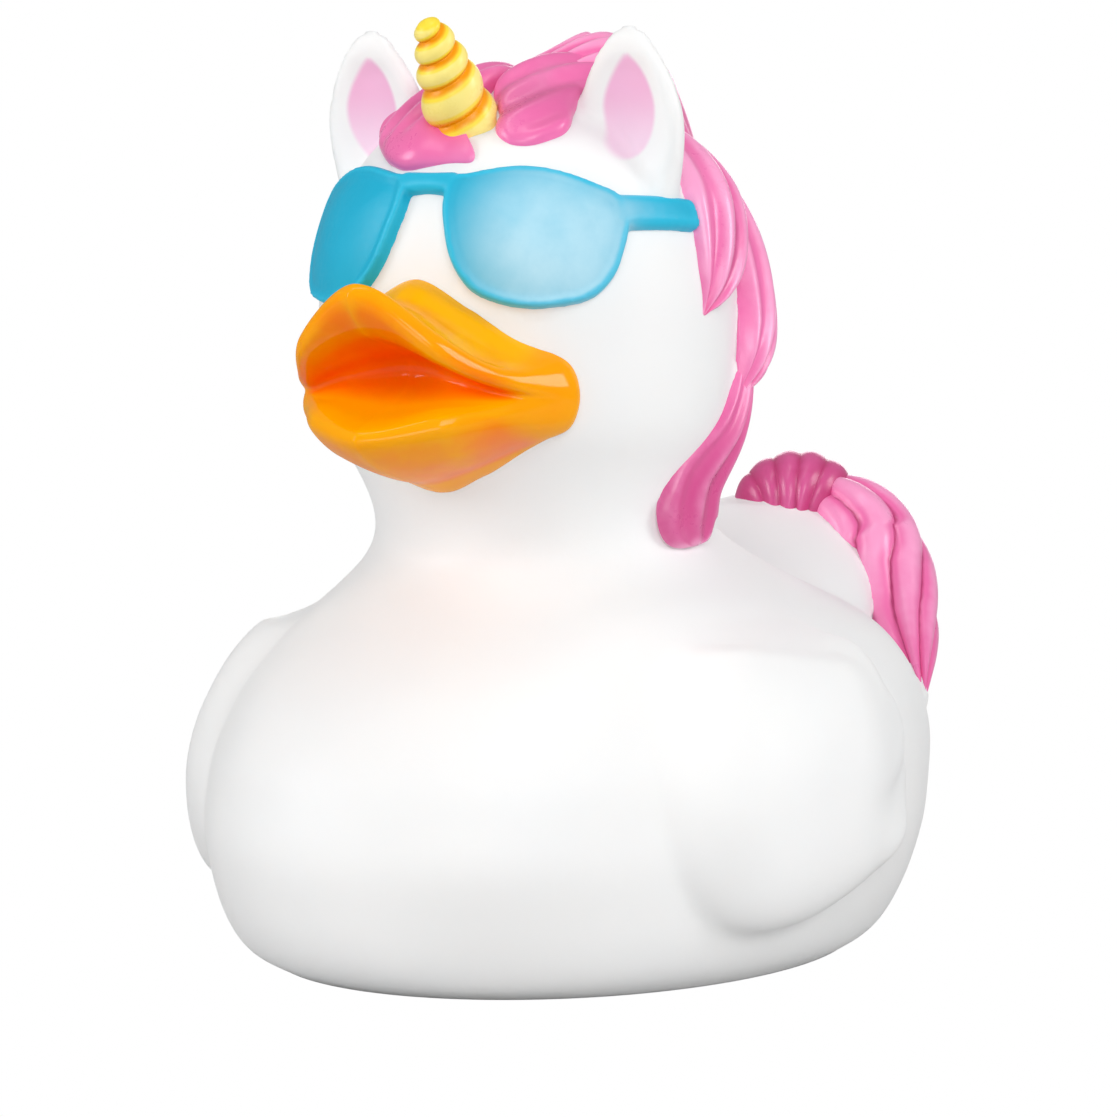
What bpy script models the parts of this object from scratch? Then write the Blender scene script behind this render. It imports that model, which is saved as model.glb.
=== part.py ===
"""A bath duck in soft vinyl with a horn, a mane, a horse tail and moulded sunglasses, and the squeaker in its base.

The duck faces -Y, its left side is +X, and it stands on z = 0 with the middle of its body near the origin.
The skin is one hollow moulding. Each form on it is a sphere primitive drawn out by its own function, the
forms are fused and smoothed as the mould would have them, and the hollow is cut out of the result.
"""

import functools
import math

import bmesh
import bpy
from mathutils import Matrix, Vector

MM = 0.001

# Driving dimensions, in millimetres
HEAD_RADIUS = 22.4
HEAD_SETBACK = -8.0
HEAD_MIDDLE = 66.0
CROWN = 92.4
CROWN_FULLNESS = 2.4
NECK_RADIUS = 17.7
NECK_HEIGHT = 47.0
BODY_HALF_WIDTH = 36.6
BODY_HALF_LENGTH = 46.5
WALL = 2.4
SKIRT = 3.0

BILL_REACH = 13.0
WING_LIFT = 4.0
GLASSES_LIFT = 1.5
HORN_LENGTH = 13.3
HORN_RADIUS = 3.9
HORN_GROOVE = 0.75
HAIR_LIFT = 3.4
EAR_HEIGHT = 21.5
EAR_HALF_WIDTH = 6.3
EAR_TIP = 99.5

SQUEAKER_BORE = 7.5
SQUEAKER_FLANGE = 9.7
SQUEAKER_SINK = 1.4
SQUEAKER_PLACE = 2.0
COLLAR_HEIGHT = 4.6
COLLAR_WALL = 3.4
WHISTLE_RADIUS = 3.0
WHISTLE_TOP = 10.5
REED_WIDTH = 3.2
REED_THICKNESS = 0.35
FIT_GAP = 0.3

VOXEL = 0.8
SKIN_TRIANGLES = 9000

# Body sections: share of the neck's height, set-back, share of the half width, share of the half length
BODY_ROWS = (
    (0.0, 0.0, 0.803, 0.796),
    (0.034, 0.0, 0.871, 0.867),
    (0.085, 0.1, 0.918, 0.916),
    (0.19, 0.6, 0.970, 0.968),
    (0.32, 1.2, 1.0, 1.0),
    (0.447, 2.4, 0.997, 0.996),
    (0.596, 3.5, 0.948, 0.931),
    (0.723, 3.8, 0.847, 0.800),
    (0.830, 0.8, 0.678, 0.598),
    (0.915, -2.0, 0.552, 0.447),
)
# Head sections: share of the rise from neck to cheeks, share of the way from neck to head radius
HEAD_ROWS = ((0.0, 0.0), (0.26, 0.30), (0.58, 0.87), (0.84, 0.99), (1.0, 1.0))

# Bill sections from the middle to the cheek: share of the reach, height
BILL_ROWS = {
    0.0: ((-0.5, 70.5), (-0.05, 72.7), (0.13, 72.6), (0.42, 70.7), (0.72, 71.2), (0.90, 72.7), (1.0, 71.7),
          (0.97, 69.9), (0.78, 67.6), (0.45, 66.2), (0.20, 65.0), (0.15, 63.2), (0.24, 61.5), (0.50, 59.9),
          (0.77, 58.6), (0.91, 57.5), (0.88, 55.9), (0.55, 53.6), (0.05, 52.0), (-0.5, 52.2)),
    0.38: ((-0.5, 68.5), (-0.05, 69.9), (0.15, 69.6), (0.42, 67.8), (0.72, 67.4), (0.90, 67.9), (1.0, 66.9),
           (0.98, 65.5), (0.82, 64.6), (0.58, 64.1), (0.40, 63.6), (0.35, 62.6), (0.42, 61.5), (0.56, 60.7),
           (0.70, 60.0), (0.81, 58.9), (0.79, 57.2), (0.48, 54.8), (0.05, 53.6), (-0.5, 53.9)),
    0.66: ((-0.5, 66.2), (-0.05, 67.0), (0.20, 66.5), (0.45, 65.1), (0.72, 64.1), (0.90, 63.9), (1.0, 63.1),
           (0.99, 62.4), (0.91, 62.0), (0.82, 61.8), (0.76, 61.6), (0.74, 61.3), (0.76, 61.0), (0.80, 60.7),
           (0.85, 60.3), (0.89, 59.6), (0.86, 58.4), (0.52, 56.8), (0.05, 55.9), (-0.5, 56.0)),
    0.84: ((-0.5, 65.2), (-0.02, 66.0), (0.25, 65.6), (0.50, 64.8), (0.72, 64.1), (0.90, 63.4), (0.99, 62.6),
           (1.01, 61.9), (1.01, 61.6), (1.005, 61.4), (1.0, 61.25), (1.0, 61.1), (1.0, 60.95), (1.005, 60.8),
           (1.01, 60.4), (1.0, 59.6), (0.92, 58.6), (0.60, 57.4), (0.05, 56.7), (-0.5, 56.9)),
    1.0: ((-0.5, 64.4), (0.0, 65.2), (0.30, 64.9), (0.55, 64.4), (0.78, 63.6), (0.93, 62.7), (1.0, 61.9),
          (1.02, 61.4), (1.03, 61.15), (1.035, 60.95), (1.04, 60.8), (1.04, 60.65), (1.035, 60.5), (1.03, 60.3),
          (1.01, 59.9), (0.96, 59.2), (0.82, 58.4), (0.50, 57.7), (0.05, 57.2), (-0.5, 57.4)),
}
# Bill plan, from the middle to the cheek: root across and forward, unit way out across and forward
BILL_PLAN = ((0.0, 0.0, -29.5, 0.0, -1.0), (0.38, 6.0, -28.8, 0.15, -0.84), (0.66, 10.5, -26.8, 0.14, -0.48),
             (0.84, 12.6, -25.2, 0.07, -0.34), (1.0, 14.0, -23.6, 0.125, -0.13))

# Outlines on the skin: degrees round from the front, height
LENS = ((5.5, 80.6), (6.5, 83.1), (12, 83.5), (20, 84.0), (29, 84.3), (38, 84.0), (46, 83.3), (53, 82.4),
        (59, 81.4), (61.5, 79.4), (60, 77.2), (58, 75.4), (55.5, 73.4), (51, 71.5), (46, 70.5), (39, 70.0),
        (32, 69.8), (24, 70.3), (17, 71.4), (12.5, 73.1), (9.2, 75.3), (7, 78))
WING = ((47, 30), (51, 34.5), (59, 37.5), (71, 38.5), (81, 37.6), (88, 35.4), (91.8, 33.6), (93.3, 31.4),
        (93.9, 29.6), (95.6, 28), (96.4, 26), (96.3, 24), (95.7, 22.6), (96.8, 20.8), (97.2, 18.6),
        (96.2, 16.2), (93.2, 13.6), (88.5, 11), (83, 9), (77.5, 7.5), (72, 6.6), (66, 6.6), (60.5, 7.9),
        (55.8, 11), (52.8, 14.6), (49.5, 22))
# Feather tips on the wing: middle in degrees and height, reach in degrees and height, lift
FEATHERS = ((84.4, 25.4, 11.3, 5.9, 0.55), (86.4, 31, 6.4, 3.5, 0.6))


def through(points, closed=False):
    """A smooth curve through the points, as a function of the share of the way along."""
    rows = [Vector(point) for point in points]
    count = len(rows)

    def curve(share):
        place = share * (count if closed else count - 1)
        first = math.floor(place) if closed else min(max(math.floor(place), 0), count - 2)
        t = place - first
        if closed:
            a, b, c, d = (rows[(first + step) % count] for step in (-1, 0, 1, 2))
        else:
            b, c = rows[first], rows[first + 1]
            a = rows[first - 1] if first else b * 2 - c
            d = rows[first + 2] if first + 2 < count else c * 2 - b
        return (b * 2 + (c - a) * t + (a * 2 - b * 5 + c * 4 - d) * t ** 2 + (b * 3 - a - c * 3 + d) * t ** 3) / 2

    return curve


def rising(xs, ys):
    """A smooth function through the values that doesn't overshoot between them."""
    gaps = [b - a for a, b in zip(xs, xs[1:])]
    grades = [(b - a) / gap for a, b, gap in zip(ys, ys[1:], gaps)]
    slopes = [grades[0]]
    for before, after in zip(grades, grades[1:]):
        slopes.append(2 * before * after / (before + after) if before * after > 0 else 0.0)
    slopes.append(grades[-1])

    def value(x):
        i = 0
        while i < len(gaps) - 1 and x > xs[i + 1]:
            i += 1
        t = (x - xs[i]) / gaps[i]
        near = (1 + 2 * t) * (1 - t) ** 2 * ys[i] + t * (1 - t) ** 2 * gaps[i] * slopes[i]
        return near + t * t * (3 - 2 * t) * ys[i + 1] + t * t * (t - 1) * gaps[i] * slopes[i + 1]

    return value


def step(low, high, x):
    """0 below low, 1 above high, and smooth between."""
    t = min(max((x - low) / (high - low), 0.0), 1.0)
    return t * t * (3 - 2 * t)


def torso_table():
    rows = [(-SKIRT, 0.0, 0.70 * BODY_HALF_WIDTH, 0.68 * BODY_HALF_LENGTH)]
    for height, back, width, length in BODY_ROWS:
        rows.append((height * NECK_HEIGHT, back, width * BODY_HALF_WIDTH, length * BODY_HALF_LENGTH))
    for rise, share in HEAD_ROWS:
        height = NECK_HEIGHT + rise * (HEAD_MIDDLE - NECK_HEIGHT)
        radius = NECK_RADIUS + share * (HEAD_RADIUS - NECK_RADIUS)
        back = HEAD_SETBACK * (0.68 + 0.32 * step(0.0, 0.7, rise))
        rows.append((height, back, radius, radius))
    return rows


TORSO = torso_table()
TORSO_COLUMNS = [rising([row[0] for row in TORSO], [row[k] for row in TORSO]) for k in (1, 2, 3)]
SLICE = 0.25


def body_slices():
    """Body and neck sections at every quarter of a millimetre, evened out over a few millimetres of height."""
    slices = []
    for i in range(int((HEAD_MIDDLE + SKIRT) / SLICE) + 2):
        height = i * SLICE - SKIRT
        reach = min(height / 9, 1.0) if height > 0 else 0.0
        heights = [min(height + shift * reach, HEAD_MIDDLE) for shift in (-2, -1, 0, 1, 2)]
        slices.append([sum(column(h) * w for h, w in zip(heights, (1, 2, 3, 2, 1))) / 9
                       for column in TORSO_COLUMNS])
    return slices


SLICES = body_slices()


def torso_section(height):
    """Set-back, half width and half length of body, neck and head at a height."""
    if height < HEAD_MIDDLE:
        place = max(height + SKIRT, 0.0) / SLICE
        first = int(place)
        return [a + (b - a) * (place - first) for a, b in zip(SLICES[first], SLICES[first + 1])]
    share = min((height - HEAD_MIDDLE) / (CROWN - HEAD_MIDDLE), 1.0)
    radius = HEAD_RADIUS * (1 - share ** CROWN_FULLNESS) ** (1 / CROWN_FULLNESS)
    return [HEAD_SETBACK, radius, radius]


def torso_place(degrees, height):
    back, width, length = torso_section(height)
    turn = math.radians(degrees)
    return Vector((width * math.sin(turn), back - length * math.cos(turn), height))


def skin(degrees, height, lift=0.0):
    """The place on body or head at an angle round from the front and a height, lifted off the surface."""
    place = torso_place(degrees, height)
    across = torso_place(degrees + 0.5, height) - torso_place(degrees - 0.5, height)
    up = torso_place(degrees, height + 0.2) - torso_place(degrees, height - 0.2)
    return place + across.cross(up).normalized() * lift


def drawn_out(name, form, around, along):
    """A sphere primitive drawn out into one closed body. form(share, turn) gives the place of the point at
    that share of the way from the first end to the last, and at that turn round its section."""
    shape = bmesh.new()
    bmesh.ops.create_uvsphere(shape, u_segments=around, v_segments=along, radius=1)
    for vert in shape.verts:
        share = math.acos(min(max(vert.co.z, -1.0), 1.0)) / math.pi
        turn = math.atan2(vert.co.y, vert.co.x)
        vert.co = Vector(form(share, turn)) * MM
    if shape.calc_volume(signed=True) < 0:
        bmesh.ops.reverse_faces(shape, faces=shape.faces[:])
    mesh = bpy.data.meshes.new(name)
    shape.to_mesh(mesh)
    shape.free()
    return mesh


def mirrored(mesh):
    shape = bmesh.new()
    shape.from_mesh(mesh)
    bmesh.ops.scale(shape, vec=(-1, 1, 1), verts=shape.verts[:])
    bmesh.ops.reverse_faces(shape, faces=shape.faces[:])
    other = bpy.data.meshes.new(mesh.name + "_right")
    shape.to_mesh(other)
    shape.free()
    return other


def torso():
    def form(share, turn):
        height = CROWN - (CROWN + SKIRT) * (1 - math.cos(math.pi * share)) / 2
        return torso_place(math.degrees(turn), height)

    return drawn_out("torso", form, 96, 96)


def rump():
    """The raised duck tail: sections along Y with their height, half width and half height."""
    rows = through(((16, 26, 27, 12), (27, 30, 23, 11.8), (35, 33.2, 19.5, 11.0), (42, 36.4, 15.5, 9.4),
                    (47.5, 39, 11.6, 7.4), (51.3, 40.6, 7.4, 5.2), (53.8, 41.7, 3.6, 3.2), (54.6, 42.1, 0.4, 0.4)))

    def form(share, turn):
        if share in (0.0, 1.0):
            row = rows(share)
            return (0, row[0], row[1])
        y, height, half_width, half_height = through_four(rows, share)
        return (half_width * math.sin(turn), y, height - half_height * math.cos(turn))

    return drawn_out("rump", form, 48, 40)


def through_four(curve, share):
    row = curve(share)
    return row[0], row[1], row[2], row[3]


def dome(name, outline, middle, lift, depth, around, along):
    """A raised patch on the skin inside an outline. lift(rim, degrees, height) is its height off the skin,
    where rim goes from 0 in the middle to 1 at the edge, and depth is how far its back lies in the skin."""
    edge = through(outline, closed=True)
    middle = Vector(middle)

    def form(share, turn):
        rim = math.sin(math.pi * share) ** 0.5
        degrees, height = middle + (edge(turn / math.tau) - middle) * rim
        rise = lift(rim, degrees, height) if share < 0.5 else -depth * (1 - rim ** 6)
        return skin(degrees, height, rise)

    return drawn_out(name, form, around, along)


def lens():
    def lift(rim, degrees, height):
        crown = 0.74 + 0.3 * (1 - (rim / 0.82) ** 2)
        rise = crown if rim < 0.82 else 0.74 + 0.2 * step(0.82, 0.90, rim)
        return GLASSES_LIFT * rise * (1 - step(0.93, 1.0, rim))

    return dome("lens", LENS, (33, 77), lift, 1.6, 88, 40)


def strip(name, path, lift, depth=2.5, around=24, along=24):
    """A raised band on the skin along a path of degrees, middle height and half height."""
    row = through(path)

    def form(share, turn):
        degrees, height, half = row(share)
        across = math.cos(turn)
        rise = lift * (1 - across ** 6) if math.sin(turn) > 0 else -depth * (1 - across ** 2)
        return skin(degrees, height + half * across, rise)

    return drawn_out(name, form, around, along)


def temple():
    """The glasses' arm, from the lens back under the hair."""
    return strip("temple", ((56, 79.6, 1.9), (66, 79.6, 1.8), (76, 79.5, 1.75), (86, 79.2, 1.7)), 0.9 * GLASSES_LIFT)


def bridge():
    return strip("bridge", ((-9, 82.4, 1.2), (0, 82.5, 1.0), (9, 82.4, 1.2)), 0.9 * GLASSES_LIFT)


def wing():
    by_height = rising([4, 8, 13, 18, 24, 29, 33, 36, 39], [0.85, 1.0, 1.04, 1.02, 0.96, 0.9, 0.8, 0.4, 0.05])

    def feathers(degrees, height):
        rise = 0.0
        for middle, level, reach, high, thick in FEATHERS:
            away = math.hypot((degrees - middle) / reach, (height - level) / high)
            rise = max(rise, thick * (1 - step(0.9, 1.04, away)) * step(-0.5, 0.7, (degrees - middle) / reach))
        return rise

    def lift(rim, degrees, height):
        front = step(44, 64, degrees) * (1 - 0.4 * (1 - step(54, 70, degrees)) * (1 - step(12, 20, height)))
        rear = 1 - 0.55 * step(80, 95, degrees) * step(13, 19, height)
        above = step(-0.8, 0.8, height - 34.3 + 0.1 * (degrees - 57))
        crease = 1.0 * above * step(50, 60, degrees) * (1 - step(80, 88, degrees))
        sharp = 6 + 12 * step(86, 94, degrees)
        rise = WING_LIFT * front * rear * by_height(height) - crease + feathers(degrees, height)
        return max(rise, 0.0) * max(1 - rim ** sharp, 0.0) ** 0.5

    return dome("wing", WING, (78, 22), lift, 3.0, 110, 56)


def bill():
    marks = sorted(BILL_ROWS)
    plan = [rising([row[0] for row in BILL_PLAN], [row[k] for row in BILL_PLAN]) for k in (1, 2, 3, 4)]
    columns = [[rising([-marks[1]] + marks, [BILL_ROWS[m][i][k] for m in [marks[1]] + marks]) for k in (0, 1)]
               for i in range(len(BILL_ROWS[0.0]))]
    beyond = 0.16

    @functools.lru_cache(maxsize=None)
    def section(near):
        return through([(out(near), height(near)) for out, height in columns], closed=True)

    def form(share, turn):
        t = (2 * share - 1) * (1 + beyond)
        near = round(min(abs(t), 1.0), 6)
        out, height = section(near)(turn / math.tau)
        root_x, root_y, way_x, way_y = (column(near) for column in plan)
        place = Vector((root_x + way_x * BILL_REACH * out, root_y + way_y * BILL_REACH * out, height))
        if abs(t) > 1:
            pole = Vector((root_x + 1.2, root_y + 2.5, 61.0))
            place = pole + (place - pole) * max(1 - ((abs(t) - 1) / beyond) ** 2, 0.0) ** 0.5
        return (math.copysign(place.x, t), place.y, place.z)

    return drawn_out("bill", form, 80, 76)


def ear():
    foot = Vector((15.2, -12.2, EAR_TIP - EAR_HEIGHT))
    tip = Vector((15.9, -14.2, EAR_TIP))
    half_width = rising([0, 0.21, 0.33, 0.49, 0.65, 0.81, 0.93, 1], [0.75, 0.86, 0.95, 1, 0.89, 0.63, 0.34, 0.01])
    back = rising([0, 0.3, 0.7, 1], [5.0, 3.6, 2.2, 0.2])

    def form(share, turn):
        rise = 1 - share
        side = math.sin(turn)
        facing = math.cos(turn)
        if facing < 0:
            out = back(rise) * facing
        else:
            scoop = step(0.16, 0.42, rise) * (1 - step(0.74, 0.94, rise))
            rim = 1.7 * (1 - side ** 6) ** 0.5 * min(1.0, 6 * (1 - rise))
            out = rim + 2.4 * (1 - step(0, 0.3, rise)) * facing - 1.5 * scoop * (1 - side * side) ** 1.5
        place = foot.lerp(tip, rise)
        return place + Vector((EAR_HALF_WIDTH * half_width(rise) * side, -out, 0))

    return drawn_out("ear", form, 48, 44)


HORN_FOOT = Vector((0, -20.5, 88.4))
HORN_LEAN = math.radians(34)


def horn():
    """Rings up the horn whose radius swells once a turn, so that the swelling winds up it as a screw."""
    axis = Vector((0, -math.sin(HORN_LEAN), math.cos(HORN_LEAN)))
    ahead = Vector((0, -math.cos(HORN_LEAN), -math.sin(HORN_LEAN)))
    taper = rising([0, 0.15, 0.34, 0.58, 0.74, 0.9, 0.97, 1], [1, 0.98, 0.90, 0.76, 0.62, 0.46, 0.29, 0.02])
    turns = rising([0, 0.19, 0.49, 0.69, 0.87, 1], [0.37, 1, 2, 3, 4, 4.7])
    sink = 3.5

    def form(share, turn):
        up = (1 - share) * (HORN_LENGTH + sink) - sink
        way = max(up, 0.0) / HORN_LENGTH
        phase = turns(way) - (turn - math.radians(31)) / math.tau
        fade = (1 - step(0.92, 1.0, way)) * step(0.02, 0.1, way)
        groove = HORN_GROOVE * (1 - abs(math.sin(math.pi * phase)) ** 0.7) * fade
        foot_edge = 0.3 * math.sin(5 * turn + 1) * (1 - step(0.02, 0.12, way))
        radius = 0 if share in (0.0, 1.0) else max(HORN_RADIUS * taper(way) - groove + foot_edge, 0.02)
        return HORN_FOOT + axis * up + ahead * (radius * math.cos(turn)) + Vector((radius * math.sin(turn), 0, 0))

    return drawn_out("horn", form, 44, 84)


def core(place):
    """The middle of the head or neck that a lock of hair wraps round."""
    height = min(max(place.z, 40.0), HEAD_MIDDLE)
    return Vector((0, torso_section(height)[0], height))


def lock(name, path, ridges, phase=0.0, groove=0.5, depth=3.5, wrap=20.0, middle=core, around=40, along=48):
    """A lock of hair: a swept lens with combed ridges, wrapped over what it lies on.
    path rows are X, Y, Z on the surface, half width and height off the surface."""
    points = through([row[:3] for row in path])
    sizes = through([(row[3], row[4], 0) for row in path])

    def form(share, turn):
        place = points(share)
        ahead = points(min(share + 0.01, 1.0)) - points(max(share - 0.01, 0.0))
        normal = (place - middle(place)).normalized()
        side = ahead.cross(normal).normalized()
        normal = side.cross(ahead).normalized()
        half, height = sizes(share)[:2]
        end = math.sin(math.pi * share) ** 0.35
        across = math.cos(turn)
        if math.sin(turn) >= 0:
            comb = groove * (0.5 - 0.5 * math.cos(math.tau * ridges * (across + 1) / 2 + phase + 1.5 * share))
            rise = (height * (1 - abs(across) ** 3) ** 0.6 - comb * (1 - across ** 4)) * end
        else:
            rise = -depth * (1 - across ** 2) * end
        bend = half * across * end / wrap
        out = normal * math.cos(bend) + side * math.sin(bend)
        return place + out * (wrap + rise) - normal * wrap

    return drawn_out(name, form, around, along)


def drape(name, outline, middle, thickness):
    """Hair that lies on the crown inside an outline of X and Y, a little off the head.
    thickness(x, y) is how far it stands off."""
    edge = through(outline, closed=True)
    middle = Vector(middle)
    centre = Vector((0, -8.5, CROWN - 22.7))
    radius = 22.8

    def form(share, turn):
        rim = math.sin(math.pi * share) ** 0.5
        across, forward = middle + (edge(turn / math.tau) - middle) * rim
        way = Vector((across, forward - centre.y, 0)) / (radius + 1.5)
        way.z = max(1 - way.length_squared, 0.0) ** 0.5
        if share < 0.5:
            rise = thickness(across, forward) * max(1 - rim ** 8, 0.0) ** 0.5
        else:
            rise = -3 * (1 - rim ** 6)
        return centre + way * (radius + rise)

    return drawn_out(name, form, 64, 44)


def forelocks():
    """The hair on both sides of the horn, swept down from the crest in soft folds."""
    right = ((-9.2, -15.1), (-11.2, -16.5), (-12.2, -18.5), (-10.6, -21.8), (-8, -24.8), (-5.7, -26.4),
             (-3.7, -27.1), (-1.5, -27.1), (1.7, -26.7), (3.8, -26.3), (3.9, -25.5), (2.5, -24.3), (0.2, -22),
             (-0.6, -17), (0, -11), (-1, -6), (-4, -5), (-7.5, -9))
    left = ((4.1, -20.8), (4.6, -22.4), (5.9, -23.2), (7.6, -23.2), (9.4, -22.1), (11, -19.6), (11.2, -17.7),
            (10.4, -15.4), (9.8, -12.5), (9.4, -8.5), (8, -4), (4, -2), (0, -4), (-1.5, -9), (0.2, -15.5), (2.6, -18.8))

    def right_rise(x, y):
        tail = 1 - 0.45 * step(-3, 1, x) * step(21, 23, -y)
        folds = 0.3 * math.cos(math.tau * (0.96 * x - 0.27 * y) / 2.9 + 0.4) * (1 - step(21, 25, -y))
        return HAIR_LIFT * (0.55 + 0.35 * (1 - step(10, 22, -y))) * tail + folds

    def left_rise(x, y):
        folds = 0.32 * math.cos(math.tau * (0.909 * x - 0.417 * y) / 3.7 + 1.0) * (1 - step(20, 23.5, -y))
        return HAIR_LIFT * (0.45 + 0.85 * (1 - step(4, 21, -y)) * step(-4, 3, x)) + folds

    return [drape("forelock_right", right, (-4.5, -19), right_rise),
            drape("forelock_left", left, (5.4, -14), left_rise)]


def rump_core(place):
    return Vector((place.x * 0.3, place.y - 10, place.z - 9))


def rope(name, path, ridges, groove, around=48, along=56, rings=0.35):
    """A thick lock with combed ridges round it, which wind with rings turns along it.
    path rows are X, Y, Z of its middle and its radius."""
    points = through([row[:3] for row in path])
    sizes = through([(row[3], 0, 0) for row in path])

    def form(share, turn):
        place = points(share)
        ahead = (points(min(share + 0.01, 1.0)) - points(max(share - 0.01, 0.0))).normalized()
        side = ahead.cross(Vector((0, 0.3, 1))).normalized()
        comb = 1 - abs(math.cos(ridges * turn / 2 + math.pi * rings * share)) ** 0.8
        end = math.sin(math.pi * min(max(share, 0.0), 1.0)) ** 0.4
        radius = max(sizes(share)[0] - groove * comb, 0.1) * end
        return place + side * (radius * math.cos(turn)) + side.cross(ahead) * (radius * math.sin(turn))

    return drawn_out(name, form, around, along)


def hair():
    """The forelocks, the crest, the side lock, the long strands and the horse tail."""
    h = HAIR_LIFT
    return forelocks() + [
        lock("crest", ((1.2, -15, 92.0, 5, 0.9 * h), (1.8, -8, 92.7, 6.6, 1.35 * h), (4.2, -1.5, 92.0, 7.2, 2.35 * h),
                       (2.4, 6, 89.4, 8.4, 1.8 * h), (1.4, 11.5, 82.5, 10.4, 1.3 * h), (1.2, 14, 72, 10.5, 1.1 * h),
                       (1, 13.3, 62, 8.5, h), (2, 11.5, 54, 5, 0.8 * h), (4, 11.5, 48.5, 1.5, 0.3 * h)),
             6, 0.0, 1.1, along=64, around=72),
        lock("side_lock", ((10, -3.5, 88.5, 3.5, 0.8 * h), (14, -2.5, 86, 4.6, h), (18.3, -3.5, 81.5, 5.6, 1.1 * h),
                           (20.5, -5, 76.5, 5.2, h), (21.7, -7.5, 72, 3.6, 0.8 * h),
                           (22.2, -9.6, 69, 0.8, 0.3 * h)), 3, 1.0, 0.9),
        lock("back_strand", ((6.5, 5, 88, 4, 0.8 * h), (11.5, 6.2, 83.5, 5, h), (15.2, 7, 77, 5.2, 1.15 * h),
                             (18.3, 5.0, 70, 5, 1.25 * h), (20.9, 1.6, 64.4, 3.8, 1.1 * h),
                             (21.6, -1.2, 60.2, 1.4, 0.5 * h)), 4, 0.3, 0.9),
        lock("neck_strand", ((19.2, 3.4, 68.5, 2.4, 0.5 * h), (20.4, 0.8, 62.6, 2.8, 0.7 * h),
                             (20.2, -2.0, 57, 3.3, 0.8 * h), (18.6, -5.2, 51.5, 4.9, 0.8 * h),
                             (18.5, -6.0, 47.6, 6.4, 0.8 * h), (19.4, -5.8, 44.6, 6.9, 0.65 * h)),
             3, 0.3, 0.7),
        rope("tail_cap", ((-2.8, 43.3, 44.2, 4.8), (1.4, 45.4, 45.3, 5.8), (6, 46.8, 45.1, 6.2), (10, 47, 43.6, 5.8)),
             2, 0.45, rings=6, along=72),
        rope("tail_fall", ((3, 46.4, 44.6, 5.0), (7, 47.2, 44.8, 6), (11, 47.1, 42.9, 6.5), (13.7, 46.4, 39.6, 6.6),
                           (16.4, 44.8, 36, 6.0), (19.6, 42, 32.4, 4.9), (22.9, 38.2, 29.3, 3.5),
                           (25.8, 34.4, 26.8, 2.0), (28.2, 31, 24.8, 0.6)), 7, 1.0, around=64, rings=0.9),
    ]


def squeaker_centre():
    return Vector((0, SQUEAKER_PLACE, 0)) * MM


def cylinder(name, radius, low, high):
    """A closed cylinder over the squeaker's place, between two heights."""
    shape = bmesh.new()
    bmesh.ops.create_cone(shape, cap_ends=True, segments=48, radius1=radius * MM, radius2=radius * MM,
                          depth=(high - low) * MM)
    bmesh.ops.translate(shape, vec=squeaker_centre() + Vector((0, 0, (low + high) / 2 * MM)), verts=shape.verts[:])
    mesh = bpy.data.meshes.new(name)
    shape.to_mesh(mesh)
    shape.free()
    return mesh


def cavity():
    """The hollow inside body, neck and head, a wall in from the skin, also where the skin slopes."""
    low, high = WALL, CROWN - 1.3 * WALL

    def form(share, turn):
        height = high - (high - low) * (1 - math.cos(math.pi * share)) / 2
        near = [torso_section(height + shift) for shift in (-WALL, 0, WALL)]
        width = max(min(row[1] for row in near) - WALL, 0.5)
        length = max(min(row[2] for row in near) - WALL, 0.5)
        if share in (0.0, 1.0):
            width = length = 0
        return (width * math.sin(turn), near[1][0] - length * math.cos(turn), height)

    return drawn_out("cavity", form, 40, 32)


def box(name, low, high):
    """A closed block over the squeaker's place, between two corners."""
    shape = bmesh.new()
    bmesh.ops.create_cube(shape, size=1)
    low, high = Vector(low) * MM, Vector(high) * MM
    bmesh.ops.scale(shape, vec=high - low, verts=shape.verts[:])
    bmesh.ops.translate(shape, vec=squeaker_centre() + (low + high) / 2, verts=shape.verts[:])
    mesh = bpy.data.meshes.new(name)
    shape.to_mesh(mesh)
    shape.free()
    return mesh


def new_object(name, mesh, collection):
    thing = bpy.data.objects.new(name, mesh)
    collection.objects.link(thing)
    return thing


def new_material(name, color, roughness, metallic=0.0):
    material = bpy.data.materials.new(name)
    material.use_nodes = True
    shader = material.node_tree.nodes["Principled BSDF"]
    shader.inputs["Base Color"].default_value = (*color, 1)
    shader.inputs["Roughness"].default_value = roughness
    shader.inputs["Metallic"].default_value = metallic
    return material


def cut(thing, cutter, operation="DIFFERENCE"):
    modifier = thing.modifiers.new(cutter.name, "BOOLEAN")
    modifier.operation = operation
    modifier.solver = "EXACT"
    modifier.object = cutter


def cutter_object(name, mesh, collection):
    cutter = new_object(name, mesh, collection)
    cutter.display_type = "WIRE"
    cutter.hide_render = True
    return cutter


def evaluated_mesh(thing):
    bpy.context.view_layer.update()
    graph = bpy.context.evaluated_depsgraph_get()
    return bpy.data.meshes.new_from_object(thing.evaluated_get(graph), depsgraph=graph)


def skin_pieces():
    """Every form of the moulding, each closed and sunk into its neighbours."""
    pieces = [torso(), rump(), bill(), horn(), bridge()]
    for piece in (wing(), lens(), temple(), ear()):
        pieces += [piece, mirrored(piece)]
    return pieces + hair()


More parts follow.
